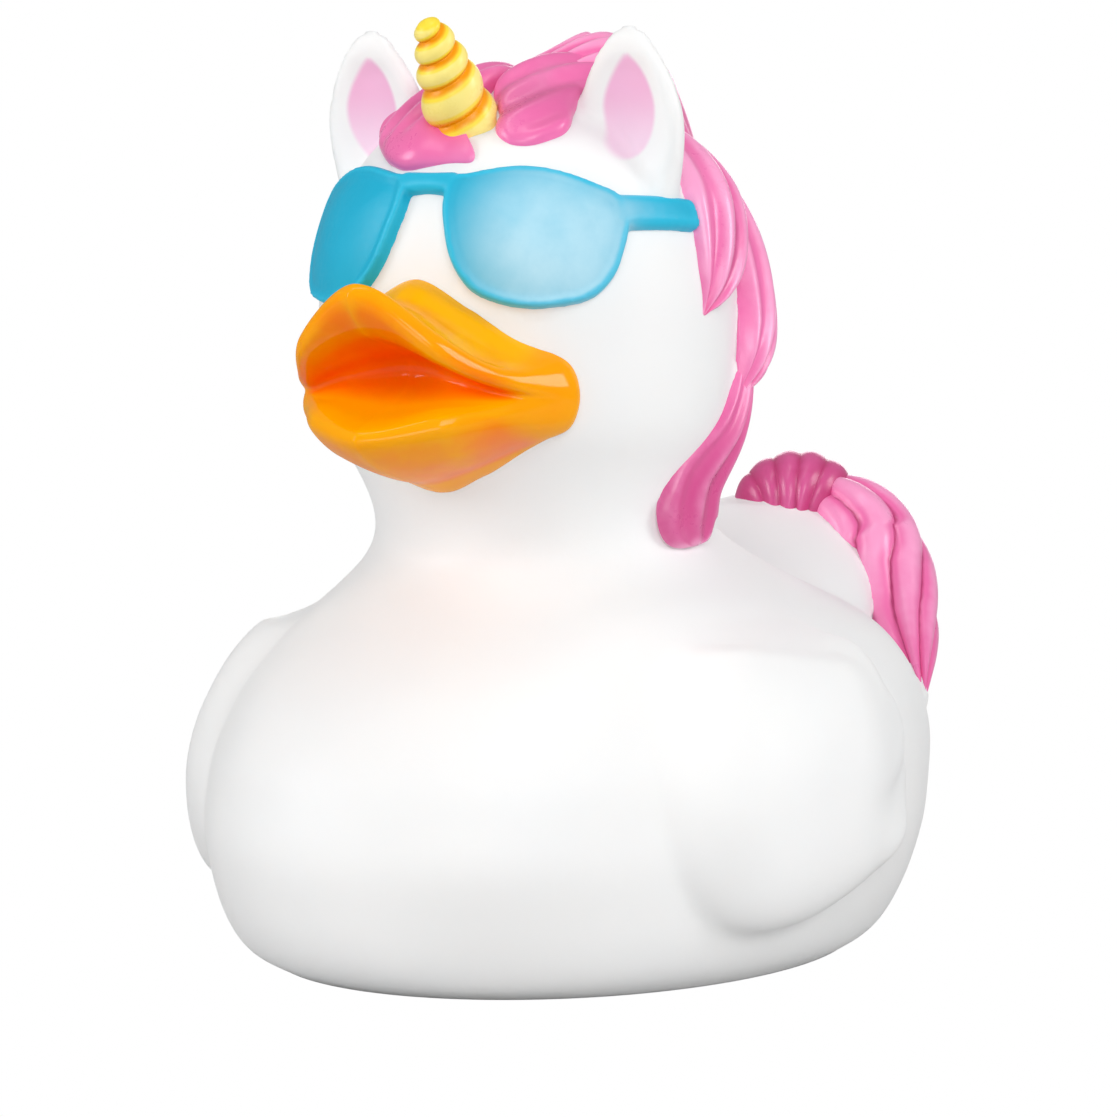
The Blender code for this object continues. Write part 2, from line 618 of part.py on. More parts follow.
def fused_skin(collection):
    """Every form of the moulding as one closed surface."""
    joined = bmesh.new()
    for piece in skin_pieces():
        joined.from_mesh(piece)
    mesh = bpy.data.meshes.new("duck")
    joined.to_mesh(mesh)
    joined.free()
    duck = new_object("duck", mesh, collection)
    remesh = duck.modifiers.new("fuse", "REMESH")
    remesh.mode = "VOXEL"
    remesh.voxel_size = VOXEL * MM
    soften = duck.modifiers.new("soften", "SMOOTH")
    soften.factor = 0.5
    soften.iterations = 2
    fine = evaluated_mesh(duck)
    count = sum(len(face.vertices) - 2 for face in fine.polygons)
    thin = duck.modifiers.new("thin", "DECIMATE")
    thin.ratio = min(1.0, SKIN_TRIANGLES / count)
    duck.data = evaluated_mesh(duck)
    duck.modifiers.clear()
    return duck


def middle_of(mesh):
    """Half way between the mesh's ends along X and Y."""
    ends = [[vert.co[axis] for vert in mesh.vertices] for axis in (0, 1)]
    return Vector([(min(row) + max(row)) / 2 for row in ends] + [0])


def squeaker_cup_profile():
    """The turned squeaker body: an outer flange below the collar, a waist in the bore and a snap rim above."""
    waist = SQUEAKER_BORE - FIT_GAP
    flange = SQUEAKER_FLANGE - FIT_GAP
    top = COLLAR_HEIGHT + FIT_GAP
    return ((0.0015, 2.0), (5.6, 2.0), (5.6, top + 1.0), (waist + 0.5, top + 1.0), (waist + 0.9, top + 0.5),
            (waist + 0.5, top), (waist, top), (waist, SQUEAKER_SINK - FIT_GAP), (flange, SQUEAKER_SINK - FIT_GAP),
            (flange, FIT_GAP + 0.3), (flange - 0.4, FIT_GAP), (1.5, FIT_GAP))


def turned(name, profile, collection):
    """A profile turned round the squeaker's axis, as a closed ring."""
    shape = bmesh.new()
    verts = [shape.verts.new(Vector((max(radius, 1.5) * MM, 0, height * MM))) for radius, height in profile]
    edges = [shape.edges.new((a, b)) for a, b in zip(verts, verts[1:] + verts[:1])]
    bmesh.ops.spin(shape, geom=verts + edges, cent=(0, 0, 0), axis=(0, 0, 1), angle=math.tau, steps=48,
                   use_merge=True)
    bmesh.ops.remove_doubles(shape, verts=shape.verts[:], dist=1e-7)
    bmesh.ops.recalc_face_normals(shape, faces=shape.faces[:])
    bmesh.ops.translate(shape, vec=squeaker_centre(), verts=shape.verts[:])
    mesh = bpy.data.meshes.new(name)
    shape.to_mesh(mesh)
    shape.free()
    return new_object(name, mesh, collection)


def build():
    for thing in list(bpy.data.objects):
        bpy.data.objects.remove(thing, do_unlink=True)
    parts = bpy.data.collections.new("unicorn_bath_duck")
    cutters = bpy.data.collections.new("cutters")
    bpy.context.scene.collection.children.link(parts)
    bpy.context.scene.collection.children.link(cutters)

    duck = fused_skin(parts)
    duck.data.materials.append(new_material("white_vinyl", (0.90, 0.91, 0.90), 0.45))

    hollow = cutter_object("hollow", cavity(), cutters)
    collar = cutter_object("collar", cylinder("collar", SQUEAKER_BORE + COLLAR_WALL, -1, COLLAR_HEIGHT), cutters)
    cut(hollow, collar)
    cut(duck, cutter_object("floor_cut", box("floor_cut", (-90, -90, -40), (90, 90, 0)), cutters))
    cut(duck, hollow)
    cut(duck, cutter_object("bore", cylinder("bore", SQUEAKER_BORE, -1, COLLAR_HEIGHT + 2), cutters))
    cut(duck, cutter_object("seat", cylinder("seat", SQUEAKER_FLANGE, -1, SQUEAKER_SINK), cutters))

    cup = turned("squeaker_cup", squeaker_cup_profile(), parts)
    cup.data.materials.append(new_material("squeaker_plastic", (0.86, 0.86, 0.84), 0.4))

    seat_low = 2.0 + FIT_GAP
    whistle = new_object("squeaker_whistle", cylinder("squeaker_whistle", 5.6 - FIT_GAP, seat_low, 4.6), parts)
    whistle.data.materials.append(new_material("whistle_plastic", (0.80, 0.80, 0.78), 0.4))
    chimney = cutter_object("chimney", cylinder("chimney", WHISTLE_RADIUS, 4.0, WHISTLE_TOP), cutters)
    slot_half = REED_WIDTH / 2 + FIT_GAP
    slot_thick = REED_THICKNESS / 2 + FIT_GAP
    slot = box("reed_slot", (-slot_half, -slot_thick, 1), (slot_half, slot_thick, WHISTLE_TOP + 1))
    cut(whistle, chimney, "UNION")
    cut(whistle, cutter_object("reed_slot", slot, cutters))

    reed = new_object("squeaker_reed", box("squeaker_reed", (-REED_WIDTH / 2, -REED_THICKNESS / 2, seat_low + 0.5),
                                           (REED_WIDTH / 2, REED_THICKNESS / 2, WHISTLE_TOP - 0.5)), parts)
    reed.data.materials.append(new_material("reed_film", (0.75, 0.78, 0.80), 0.3))

    shift = Matrix.Translation(-middle_of(duck.data))
    for thing in list(parts.objects) + list(cutters.objects):
        thing.data.transform(shift)


build()
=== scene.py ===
"""The bath duck in sprayed soft vinyl, with its squeaker, photographed in a white studio.

The forms are the model's own, drawn finer. The white skin is one fused and smoothed surface that also swells
under each painted form, so that the forms rise from it as in a moulding.
"""

import functools
import math

import bmesh
import bpy
import numpy as np
from mathutils import Matrix, Vector


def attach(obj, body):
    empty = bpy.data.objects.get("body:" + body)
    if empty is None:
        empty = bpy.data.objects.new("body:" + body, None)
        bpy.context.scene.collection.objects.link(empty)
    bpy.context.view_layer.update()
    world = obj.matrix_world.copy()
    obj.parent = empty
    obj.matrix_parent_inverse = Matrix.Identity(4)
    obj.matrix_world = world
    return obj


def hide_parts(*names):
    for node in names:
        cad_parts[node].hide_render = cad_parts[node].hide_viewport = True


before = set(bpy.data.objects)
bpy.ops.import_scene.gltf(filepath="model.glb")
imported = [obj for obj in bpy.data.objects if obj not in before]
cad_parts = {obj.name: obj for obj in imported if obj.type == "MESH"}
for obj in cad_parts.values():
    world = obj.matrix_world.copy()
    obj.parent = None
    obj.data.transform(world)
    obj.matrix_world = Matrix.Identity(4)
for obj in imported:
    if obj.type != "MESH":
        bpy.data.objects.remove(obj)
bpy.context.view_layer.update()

MM = 0.001

# Driving dimensions, in millimetres
HEAD_RADIUS = 22.4
HEAD_SETBACK = -8.0
HEAD_MIDDLE = 66.0
CROWN = 92.4
CROWN_FULLNESS = 2.4
NECK_RADIUS = 17.7
NECK_HEIGHT = 47.0
BODY_HALF_WIDTH = 36.6
BODY_HALF_LENGTH = 46.5
SKIRT = 3.0

BILL_REACH = 13.0
WING_LIFT = 4.0
GLASSES_LIFT = 1.5
HORN_LENGTH = 13.3
HORN_RADIUS = 3.9
HORN_GROOVE = 0.75
HAIR_LIFT = 3.4
EAR_HEIGHT = 21.5
EAR_HALF_WIDTH = 6.3
EAR_TIP = 99.5

SQUEAKER_BORE = 7.5
SQUEAKER_FLANGE = 9.7
SQUEAKER_SINK = 1.4
SQUEAKER_PLACE = 2.0
COLLAR_HEIGHT = 4.6
POCKET_WIDENING = 2.2
POCKET_TOP = 13.0
BASE_LEVEL = 0.02
RING_POINTS = 96

# How fine the surfaces are: cell widths where they are fused, in millimetres, and a share for all forms
SKIN_CELL = 0.61
GLASSES_CELL = 0.3
FINENESS = 1.0
# How much finer each form is drawn than in the model
DETAIL = {"torso": 1.5, "rump": 1.5, "wing": 1.6, "lens": 2.0, "temple": 3, "bridge": 3, "ear": 2.4,
          "horn": 2.6, "bill": 2.8}
HAIR_DETAIL = 2.6

# Body sections: share of the neck's height, set-back, share of the half width, share of the half length
BODY_ROWS = (
    (0.0, 0.0, 0.803, 0.796),
    (0.034, 0.0, 0.871, 0.867),
    (0.085, 0.1, 0.918, 0.916),
    (0.19, 0.6, 0.970, 0.968),
    (0.32, 1.2, 1.0, 1.0),
    (0.447, 2.4, 0.997, 0.996),
    (0.596, 3.5, 0.948, 0.931),
    (0.723, 3.8, 0.847, 0.800),
    (0.830, 0.8, 0.678, 0.598),
    (0.915, -2.0, 0.552, 0.447),
)
# Head sections: share of the rise from neck to cheeks, share of the way from neck to head radius
HEAD_ROWS = ((0.0, 0.0), (0.26, 0.30), (0.58, 0.87), (0.84, 0.99), (1.0, 1.0))

# Bill sections from the middle to the cheek: share of the reach, height
BILL_ROWS = {
    0.0: ((-0.5, 70.5), (-0.05, 72.7), (0.13, 72.6), (0.42, 70.7), (0.72, 71.2), (0.90, 72.7), (1.0, 71.7),
          (0.97, 69.9), (0.78, 67.6), (0.45, 66.2), (0.20, 65.0), (0.15, 63.2), (0.24, 61.5), (0.50, 59.9),
          (0.77, 58.6), (0.91, 57.5), (0.88, 55.9), (0.55, 53.6), (0.05, 52.0), (-0.5, 52.2)),
    0.38: ((-0.5, 68.5), (-0.05, 69.9), (0.15, 69.6), (0.42, 67.8), (0.72, 67.4), (0.90, 67.9), (1.0, 66.9),
           (0.98, 65.5), (0.82, 64.6), (0.58, 64.1), (0.40, 63.6), (0.35, 62.6), (0.42, 61.5), (0.56, 60.7),
           (0.70, 60.0), (0.81, 58.9), (0.79, 57.2), (0.48, 54.8), (0.05, 53.6), (-0.5, 53.9)),
    0.66: ((-0.5, 66.2), (-0.05, 67.0), (0.20, 66.5), (0.45, 65.1), (0.72, 64.1), (0.90, 63.9), (1.0, 63.1),
           (0.99, 62.4), (0.91, 62.0), (0.82, 61.8), (0.76, 61.6), (0.74, 61.3), (0.76, 61.0), (0.80, 60.7),
           (0.85, 60.3), (0.89, 59.6), (0.86, 58.4), (0.52, 56.8), (0.05, 55.9), (-0.5, 56.0)),
    0.84: ((-0.5, 65.2), (-0.02, 66.0), (0.25, 65.6), (0.50, 64.8), (0.72, 64.1), (0.90, 63.4), (0.99, 62.6),
           (1.01, 61.9), (1.01, 61.6), (1.005, 61.4), (1.0, 61.25), (1.0, 61.1), (1.0, 60.95), (1.005, 60.8),
           (1.01, 60.4), (1.0, 59.6), (0.92, 58.6), (0.60, 57.4), (0.05, 56.7), (-0.5, 56.9)),
    1.0: ((-0.5, 64.4), (0.0, 65.2), (0.30, 64.9), (0.55, 64.4), (0.78, 63.6), (0.93, 62.7), (1.0, 61.9),
          (1.02, 61.4), (1.03, 61.15), (1.035, 60.95), (1.04, 60.8), (1.04, 60.65), (1.035, 60.5),
          (1.03, 60.3), (1.01, 59.9), (0.96, 59.2), (0.82, 58.4), (0.50, 57.7), (0.05, 57.2), (-0.5, 57.4)),
}
# Bill plan, from the middle to the cheek: root across and forward, unit way out across and forward
BILL_PLAN = ((0.0, 0.0, -29.5, 0.0, -1.0), (0.38, 6.0, -28.8, 0.15, -0.84), (0.66, 10.5, -26.8, 0.14, -0.48),
             (0.84, 12.6, -25.2, 0.07, -0.34), (1.0, 14.0, -23.6, 0.125, -0.13))

# Outlines on the skin: degrees round from the front, height
LENS = ((5.5, 80.6), (6.5, 83.1), (12, 83.5), (20, 84.0), (29, 84.3), (38, 84.0), (46, 83.3), (53, 82.4),
        (59, 81.4), (61.5, 79.4), (60, 77.2), (58, 75.4), (55.5, 73.4), (51, 71.5), (46, 70.5), (39, 70.0),
        (32, 69.8), (24, 70.3), (17, 71.4), (12.5, 73.1), (9.2, 75.3), (7, 78))
WING = ((47, 30), (51, 34.5), (59, 37.5), (71, 38.5), (81, 37.6), (88, 35.4), (91.8, 33.6), (93.3, 31.4),
        (93.9, 29.6), (95.6, 28), (96.4, 26), (96.3, 24), (95.7, 22.6), (96.8, 20.8), (97.2, 18.6),
        (96.2, 16.2), (93.2, 13.6), (88.5, 11), (83, 9), (77.5, 7.5), (72, 6.6), (66, 6.6), (60.5, 7.9),
        (55.8, 11), (52.8, 14.6), (49.5, 22))
# Feather tips on the wing: middle in degrees and height, reach in degrees and height, lift
FEATHERS = ((84.4, 25.4, 11.3, 5.9, 0.55), (86.4, 31, 6.4, 3.5, 0.6))


def through(points, closed=False):
    """A smooth curve through the points, as a function of the share of the way along."""
    rows = [Vector(point) for point in points]
    count = len(rows)

    def curve(share):
        place = share * (count if closed else count - 1)
        first = math.floor(place) if closed else min(max(math.floor(place), 0), count - 2)
        t = place - first
        if closed:
            a, b, c, d = (rows[(first + k) % count] for k in (-1, 0, 1, 2))
        else:
            b, c = rows[first], rows[first + 1]
            a = rows[first - 1] if first else b * 2 - c
            d = rows[first + 2] if first + 2 < count else c * 2 - b
        square = a * 2 - b * 5 + c * 4 - d
        cube = b * 3 - a - c * 3 + d
        return (b * 2 + (c - a) * t + square * t ** 2 + cube * t ** 3) / 2

    return curve


def rising(xs, ys):
    """A smooth function through the values that doesn't overshoot between them."""
    gaps = [b - a for a, b in zip(xs, xs[1:])]
    grades = [(b - a) / gap for a, b, gap in zip(ys, ys[1:], gaps)]
    slopes = [grades[0]]
    for before, after in zip(grades, grades[1:]):
        slopes.append(2 * before * after / (before + after) if before * after > 0 else 0.0)
    slopes.append(grades[-1])

    def value(x):
        i = 0
        while i < len(gaps) - 1 and x > xs[i + 1]:
            i += 1
        t = (x - xs[i]) / gaps[i]
        near = (1 + 2 * t) * (1 - t) ** 2 * ys[i] + t * (1 - t) ** 2 * gaps[i] * slopes[i]
        return near + t * t * (3 - 2 * t) * ys[i + 1] + t * t * (t - 1) * gaps[i] * slopes[i + 1]

    return value


def step(low, high, x):
    """0 below low, 1 above high, and smooth between."""
    t = min(max((x - low) / (high - low), 0.0), 1.0)
    return t * t * (3 - 2 * t)


def torso_table():
    """Height, set-back, half width and half length of each torso section, from below the floor upward."""
    rows = [(-SKIRT, 0.0, 0.70 * BODY_HALF_WIDTH, 0.68 * BODY_HALF_LENGTH)]
    for height, back, width, length in BODY_ROWS:
        rows.append((height * NECK_HEIGHT, back, width * BODY_HALF_WIDTH, length * BODY_HALF_LENGTH))
    for rise, share in HEAD_ROWS:
        height = NECK_HEIGHT + rise * (HEAD_MIDDLE - NECK_HEIGHT)
        radius = NECK_RADIUS + share * (HEAD_RADIUS - NECK_RADIUS)
        back = HEAD_SETBACK * (0.68 + 0.32 * step(0.0, 0.7, rise))
        rows.append((height, back, radius, radius))
    return rows


TORSO = torso_table()
TORSO_COLUMNS = [rising([row[0] for row in TORSO], [row[k] for row in TORSO]) for k in (1, 2, 3)]
SLICE = 0.25


def body_slices():
    """Body and neck sections every quarter of a millimetre, evened out over a few millimetres.
    Toward the floor they are evened out less and less."""
    slices = []
    for i in range(int((HEAD_MIDDLE + SKIRT) / SLICE) + 2):
        height = i * SLICE - SKIRT
        reach = min(height / 9, 1.0) if height > 0 else 0.0
        heights = [min(height + shift * reach, HEAD_MIDDLE) for shift in (-2, -1, 0, 1, 2)]
        slices.append([sum(column(h) * w for h, w in zip(heights, (1, 2, 3, 2, 1))) / 9
                       for column in TORSO_COLUMNS])
    return slices


SLICES = body_slices()


def torso_section(height):
    """Set-back, half width and half length of body, neck and head at a height."""
    if height < HEAD_MIDDLE:
        place = max(height + SKIRT, 0.0) / SLICE
        first = int(place)
        return [a + (b - a) * (place - first) for a, b in zip(SLICES[first], SLICES[first + 1])]
    share = min((height - HEAD_MIDDLE) / (CROWN - HEAD_MIDDLE), 1.0)
    radius = HEAD_RADIUS * (1 - share ** CROWN_FULLNESS) ** (1 / CROWN_FULLNESS)
    return [HEAD_SETBACK, radius, radius]


def torso_place(degrees, height):
    """The place on body or head at an angle round from the front and a height."""
    back, width, length = torso_section(height)
    turn = math.radians(degrees)
    return Vector((width * math.sin(turn), back - length * math.cos(turn), height))


def skin(degrees, height, lift=0.0):
    """The same place, lifted off the surface."""
    place = torso_place(degrees, height)
    across = torso_place(degrees + 0.5, height) - torso_place(degrees - 0.5, height)
    up = torso_place(degrees, height + 0.2) - torso_place(degrees, height - 0.2)
    return place + across.cross(up).normalized() * lift


# The forms


def drawn_out(name, form, around, along):
    """A sphere primitive drawn out into one closed body. form(share, turn) gives the place of the point at
    that share of the way from the first end to the last, and at that turn round its section. Both are kept
    as attributes, for paint that follows the form."""
    detail = DETAIL.get(name, HAIR_DETAIL) * FINENESS
    shape = bmesh.new()
    bmesh.ops.create_uvsphere(shape, u_segments=int(around * detail), v_segments=int(along * detail),
                              radius=1)
    along_mark = shape.verts.layers.float.new("along")
    round_mark = shape.verts.layers.float.new("round")
    for vert in shape.verts:
        share = math.acos(min(max(vert.co.z, -1.0), 1.0)) / math.pi
        turn = math.atan2(vert.co.y, vert.co.x)
        vert[along_mark] = share
        vert[round_mark] = (turn / math.tau) % 1.0
        vert.co = Vector(form(share, turn)) * MM
    if shape.calc_volume(signed=True) < 0:
        bmesh.ops.reverse_faces(shape, faces=shape.faces[:])
    mesh = bpy.data.meshes.new(name)
    shape.to_mesh(mesh)
    shape.free()
    return mesh


def mirrored(mesh):
    """The same form on the duck's right."""
    shape = bmesh.new()
    shape.from_mesh(mesh)
    bmesh.ops.scale(shape, vec=(-1, 1, 1), verts=shape.verts[:])
    bmesh.ops.reverse_faces(shape, faces=shape.faces[:])
    other = bpy.data.meshes.new(mesh.name + "_right")
    shape.to_mesh(other)
    shape.free()
    return other


def torso():
    """Body, neck and head as one form, from the crown down to below the floor."""
    def form(share, turn):
        height = CROWN - (CROWN + SKIRT) * (1 - math.cos(math.pi * share)) / 2
        return torso_place(math.degrees(turn), height)

    return drawn_out("torso", form, 96, 96)


def rump():
    """The raised duck tail: sections along Y with their height, half width and half height."""
    rows = through(((16, 26, 27, 12), (27, 30, 23, 11.8), (35, 33.2, 19.5, 11.0), (42, 36.4, 15.5, 9.4),
                    (47.5, 39, 11.6, 7.4), (51.3, 40.6, 7.4, 5.2), (53.8, 41.7, 3.6, 3.2),
                    (54.6, 42.1, 0.4, 0.4)))

    def form(share, turn):
        y, height, half_width, half_height = rows(share)
        if share in (0.0, 1.0):
            return (0, y, height)
        return (half_width * math.sin(turn), y, height - half_height * math.cos(turn))

    return drawn_out("rump", form, 48, 40)


def dome(name, outline, middle, lift, depth, around, along):
    """A raised patch on the skin inside an outline. lift(rim, degrees, height) is its height off the skin,
    where rim goes from 0 in the middle to 1 at the edge, and depth is how far its back lies in the skin."""
    edge = through(outline, closed=True)
    middle = Vector(middle)

    def form(share, turn):
        rim = math.sin(math.pi * share) ** 0.5
        degrees, height = middle + (edge(turn / math.tau) - middle) * rim
        rise = lift(rim, degrees, height) if share < 0.5 else -depth * (1 - rim ** 6)
        return skin(degrees, height, rise)

    return drawn_out(name, form, around, along)


def lens():
    """A crowned glass with the frame standing up round it."""
    glass, level = 0.82, 0.74

    def lift(rim, degrees, height):
        crown = level + 0.3 * (1 - (rim / glass) ** 2)
        rise = crown if rim < glass else level + 0.2 * step(glass, 0.90, rim)
        return GLASSES_LIFT * rise * (1 - step(0.93, 1.0, rim))

    return dome("lens", LENS, (33, 77), lift, 1.6, 88, 40)


def strip(name, path):
    """A band of the glasses' frame along a path of degrees, middle height and half height."""
    row = through(path)
    lift, depth = 0.9 * GLASSES_LIFT, 2.5

    def form(share, turn):
        degrees, height, half = row(share)
        across = math.cos(turn)
        rise = lift * (1 - across ** 6) if math.sin(turn) > 0 else -depth * (1 - across ** 2)
        return skin(degrees, height + half * across, rise)

    return drawn_out(name, form, 24, 24)


def temple():
    """The glasses' arm, from the lens back under the hair."""
    return strip("temple", ((56, 79.6, 1.9), (66, 79.6, 1.8), (76, 79.5, 1.75), (86, 79.2, 1.7)))


def bridge():
    return strip("bridge", ((-9, 82.4, 1.2), (0, 82.5, 1.0), (9, 82.4, 1.2)))


def wing():
    """A wing that stands out most low down, with a crease above it and feather tips at its rear."""
    by_height = rising([4, 8, 13, 18, 24, 29, 33, 36, 39],
                       [0.85, 1.0, 1.04, 1.02, 0.96, 0.9, 0.8, 0.4, 0.05])

    def feathers(degrees, height):
        rise = 0.0
        for middle, level, reach, high, thick in FEATHERS:
            away = math.hypot((degrees - middle) / reach, (height - level) / high)
            rear = step(-0.5, 0.7, (degrees - middle) / reach)
            rise = max(rise, thick * (1 - step(0.9, 1.04, away)) * rear)
        return rise

    def lift(rim, degrees, height):
        front = step(44, 64, degrees) * (1 - 0.4 * (1 - step(54, 70, degrees)) * (1 - step(12, 20, height)))
        rear = 1 - 0.55 * step(80, 95, degrees) * step(13, 19, height)
        above = step(-0.8, 0.8, height - 34.3 + 0.1 * (degrees - 57))
        crease = above * step(50, 60, degrees) * (1 - step(80, 88, degrees))
        sharp = 6 + 12 * step(86, 94, degrees)
        rise = WING_LIFT * front * rear * by_height(height) - crease + feathers(degrees, height)
        return max(rise, 0.0) * max(1 - rim ** sharp, 0.0) ** 0.5

    return dome("wing", WING, (78, 22), lift, 3.0, 110, 56)


def bill():
    """The open bill, from cheek to cheek, with rounded ends where its lips meet."""
    marks = sorted(BILL_ROWS)
    mirror = [marks[1]]
    plan = [rising([row[0] for row in BILL_PLAN], [row[k] for row in BILL_PLAN]) for k in (1, 2, 3, 4)]
    columns = [[rising([-marks[1]] + marks, [BILL_ROWS[mark][i][k] for mark in mirror + marks])
                for k in (0, 1)] for i in range(len(BILL_ROWS[0.0]))]
    beyond = 0.16

    @functools.lru_cache(maxsize=None)
    def section(near):
        return through([(out(near), height(near)) for out, height in columns], closed=True)

    def form(share, turn):
        t = (2 * share - 1) * (1 + beyond)
        near = round(min(abs(t), 1.0), 6)
        out, height = section(near)(turn / math.tau)
        root_x, root_y, way_x, way_y = (column(near) for column in plan)
        place = Vector((root_x + way_x * BILL_REACH * out, root_y + way_y * BILL_REACH * out, height))
        if abs(t) > 1:
            pole = Vector((root_x + 1.2, root_y + 2.5, 61.0))
            place = pole + (place - pole) * max(1 - ((abs(t) - 1) / beyond) ** 2, 0.0) ** 0.5
        return (math.copysign(place.x, t), place.y, place.z)

    return drawn_out("bill", form, 80, 76)


def ear():
    """An ear with a hollow front."""
    foot = Vector((15.2, -12.2, EAR_TIP - EAR_HEIGHT))
    tip = Vector((15.9, -14.2, EAR_TIP))
    half_width = rising([0, 0.21, 0.33, 0.49, 0.65, 0.81, 0.93, 1],
                        [0.75, 0.86, 0.95, 1, 0.89, 0.63, 0.34, 0.01])
    back = rising([0, 0.3, 0.7, 1], [5.0, 3.6, 2.2, 0.2])

    def form(share, turn):
        rise = 1 - share
        side = math.sin(turn)
        facing = math.cos(turn)
        if facing < 0:
            out = back(rise) * facing
        else:
            scoop = step(0.16, 0.42, rise) * (1 - step(0.74, 0.94, rise))
            rim = 1.7 * (1 - side ** 6) ** 0.5 * min(1.0, 6 * (1 - rise))
            out = rim + 2.4 * (1 - step(0, 0.3, rise)) * facing - 1.5 * scoop * (1 - side * side) ** 1.5
        place = foot.lerp(tip, rise)
        return place + Vector((EAR_HALF_WIDTH * half_width(rise) * side, -out, 0))

    return drawn_out("ear", form, 48, 44)


HORN_FOOT = Vector((0, -20.5, 88.4))
HORN_LEAN = math.radians(34)
HORN_SINK = 3.5
HORN_START = math.radians(31)
HORN_TURNS = rising([0, 0.19, 0.49, 0.69, 0.87, 1], [0.37, 1, 2, 3, 4, 4.7])
HORN_BAND = 0.21


def horn_winding(share, turn):
    """How far up the horn a point is, and its phase in the screw: whole numbers are in the groove."""
    up = (1 - share) * (HORN_LENGTH + HORN_SINK) - HORN_SINK
    return up, HORN_TURNS(max(up, 0.0) / HORN_LENGTH) - (turn - HORN_START) / math.tau


def horn():
    """Rings up the horn whose radius swells once a turn, so that the swelling winds up it as a screw."""
    axis = Vector((0, -math.sin(HORN_LEAN), math.cos(HORN_LEAN)))
    ahead = Vector((0, -math.cos(HORN_LEAN), -math.sin(HORN_LEAN)))
    taper = rising([0, 0.15, 0.34, 0.58, 0.74, 0.9, 0.97, 1], [1, 0.98, 0.90, 0.76, 0.62, 0.46, 0.29, 0.02])

    def form(share, turn):
        up, phase = horn_winding(share, turn)
        way = max(up, 0.0) / HORN_LENGTH
        fade = (1 - step(0.92, 1.0, way)) * step(0.02, 0.1, way)
        groove = HORN_GROOVE * (1 - abs(math.sin(math.pi * phase)) ** 0.7) * fade
        foot_edge = 0.3 * math.sin(5 * turn + 1) * (1 - step(0.02, 0.12, way))
        radius = 0 if share in (0.0, 1.0) else max(HORN_RADIUS * taper(way) - groove + foot_edge, 0.02)
        across = Vector((radius * math.sin(turn), 0, 0))
        return HORN_FOOT + axis * up + ahead * (radius * math.cos(turn)) + across

    return drawn_out("horn", form, 44, 84)


LOCK_DEPTH = 3.5
LOCK_WRAP = 20.0
LOWEST_CORE = 40.0


def core(place):
    """The middle of the head or neck that a lock of hair wraps round."""
    height = min(max(place.z, LOWEST_CORE), HEAD_MIDDLE)
    return Vector((0, torso_section(height)[0], height))


def lock(name, path, ridges, phase, groove, around=40, along=48):
    """A lock of hair: a swept lens with combed ridges, wrapped over what it lies on. path rows are X, Y, Z
    on the surface, half width, and height off the surface as a share of the hair's lift."""
    points = through([row[:3] for row in path])
    sizes = through([(row[3], row[4] * HAIR_LIFT, 0) for row in path])

    def form(share, turn):
        place = points(share)
        ahead = points(min(share + 0.01, 1.0)) - points(max(share - 0.01, 0.0))
        normal = (place - core(place)).normalized()
        side = ahead.cross(normal).normalized()
        normal = side.cross(ahead).normalized()
        half, height = sizes(share)[:2]
        end = math.sin(math.pi * share) ** 0.35
        across = math.cos(turn)
        if math.sin(turn) >= 0:
            wave = math.cos(math.tau * ridges * (across + 1) / 2 + phase + 1.5 * share)
            comb = groove * (0.5 - 0.5 * wave)
            rise = (height * (1 - abs(across) ** 3) ** 0.6 - comb * (1 - across ** 4)) * end
        else:
            rise = -LOCK_DEPTH * (1 - across ** 2) * end
        bend = half * across * end / LOCK_WRAP
        out = normal * math.cos(bend) + side * math.sin(bend)
        return place + out * (LOCK_WRAP + rise) - normal * LOCK_WRAP

    return drawn_out(name, form, around, along)


def drape(name, outline, middle, thickness):
    """Hair that lies on the crown inside an outline of X and Y, a little off the head.
    thickness(x, y) is how far it stands off."""
    edge = through(outline, closed=True)
    middle = Vector(middle)
    centre = Vector((0, -8.5, CROWN - 22.7))
    radius = 22.8

    def form(share, turn):
        rim = math.sin(math.pi * share) ** 0.5
        across, forward = middle + (edge(turn / math.tau) - middle) * rim
        way = Vector((across, forward - centre.y, 0)) / (radius + 1.5)
        way.z = max(1 - way.length_squared, 0.0) ** 0.5
        if share < 0.5:
            rise = thickness(across, forward) * max(1 - rim ** 8, 0.0) ** 0.5
        else:
            rise = -3 * (1 - rim ** 6)
        return centre + way * (radius + rise)

    return drawn_out(name, form, 64, 44)


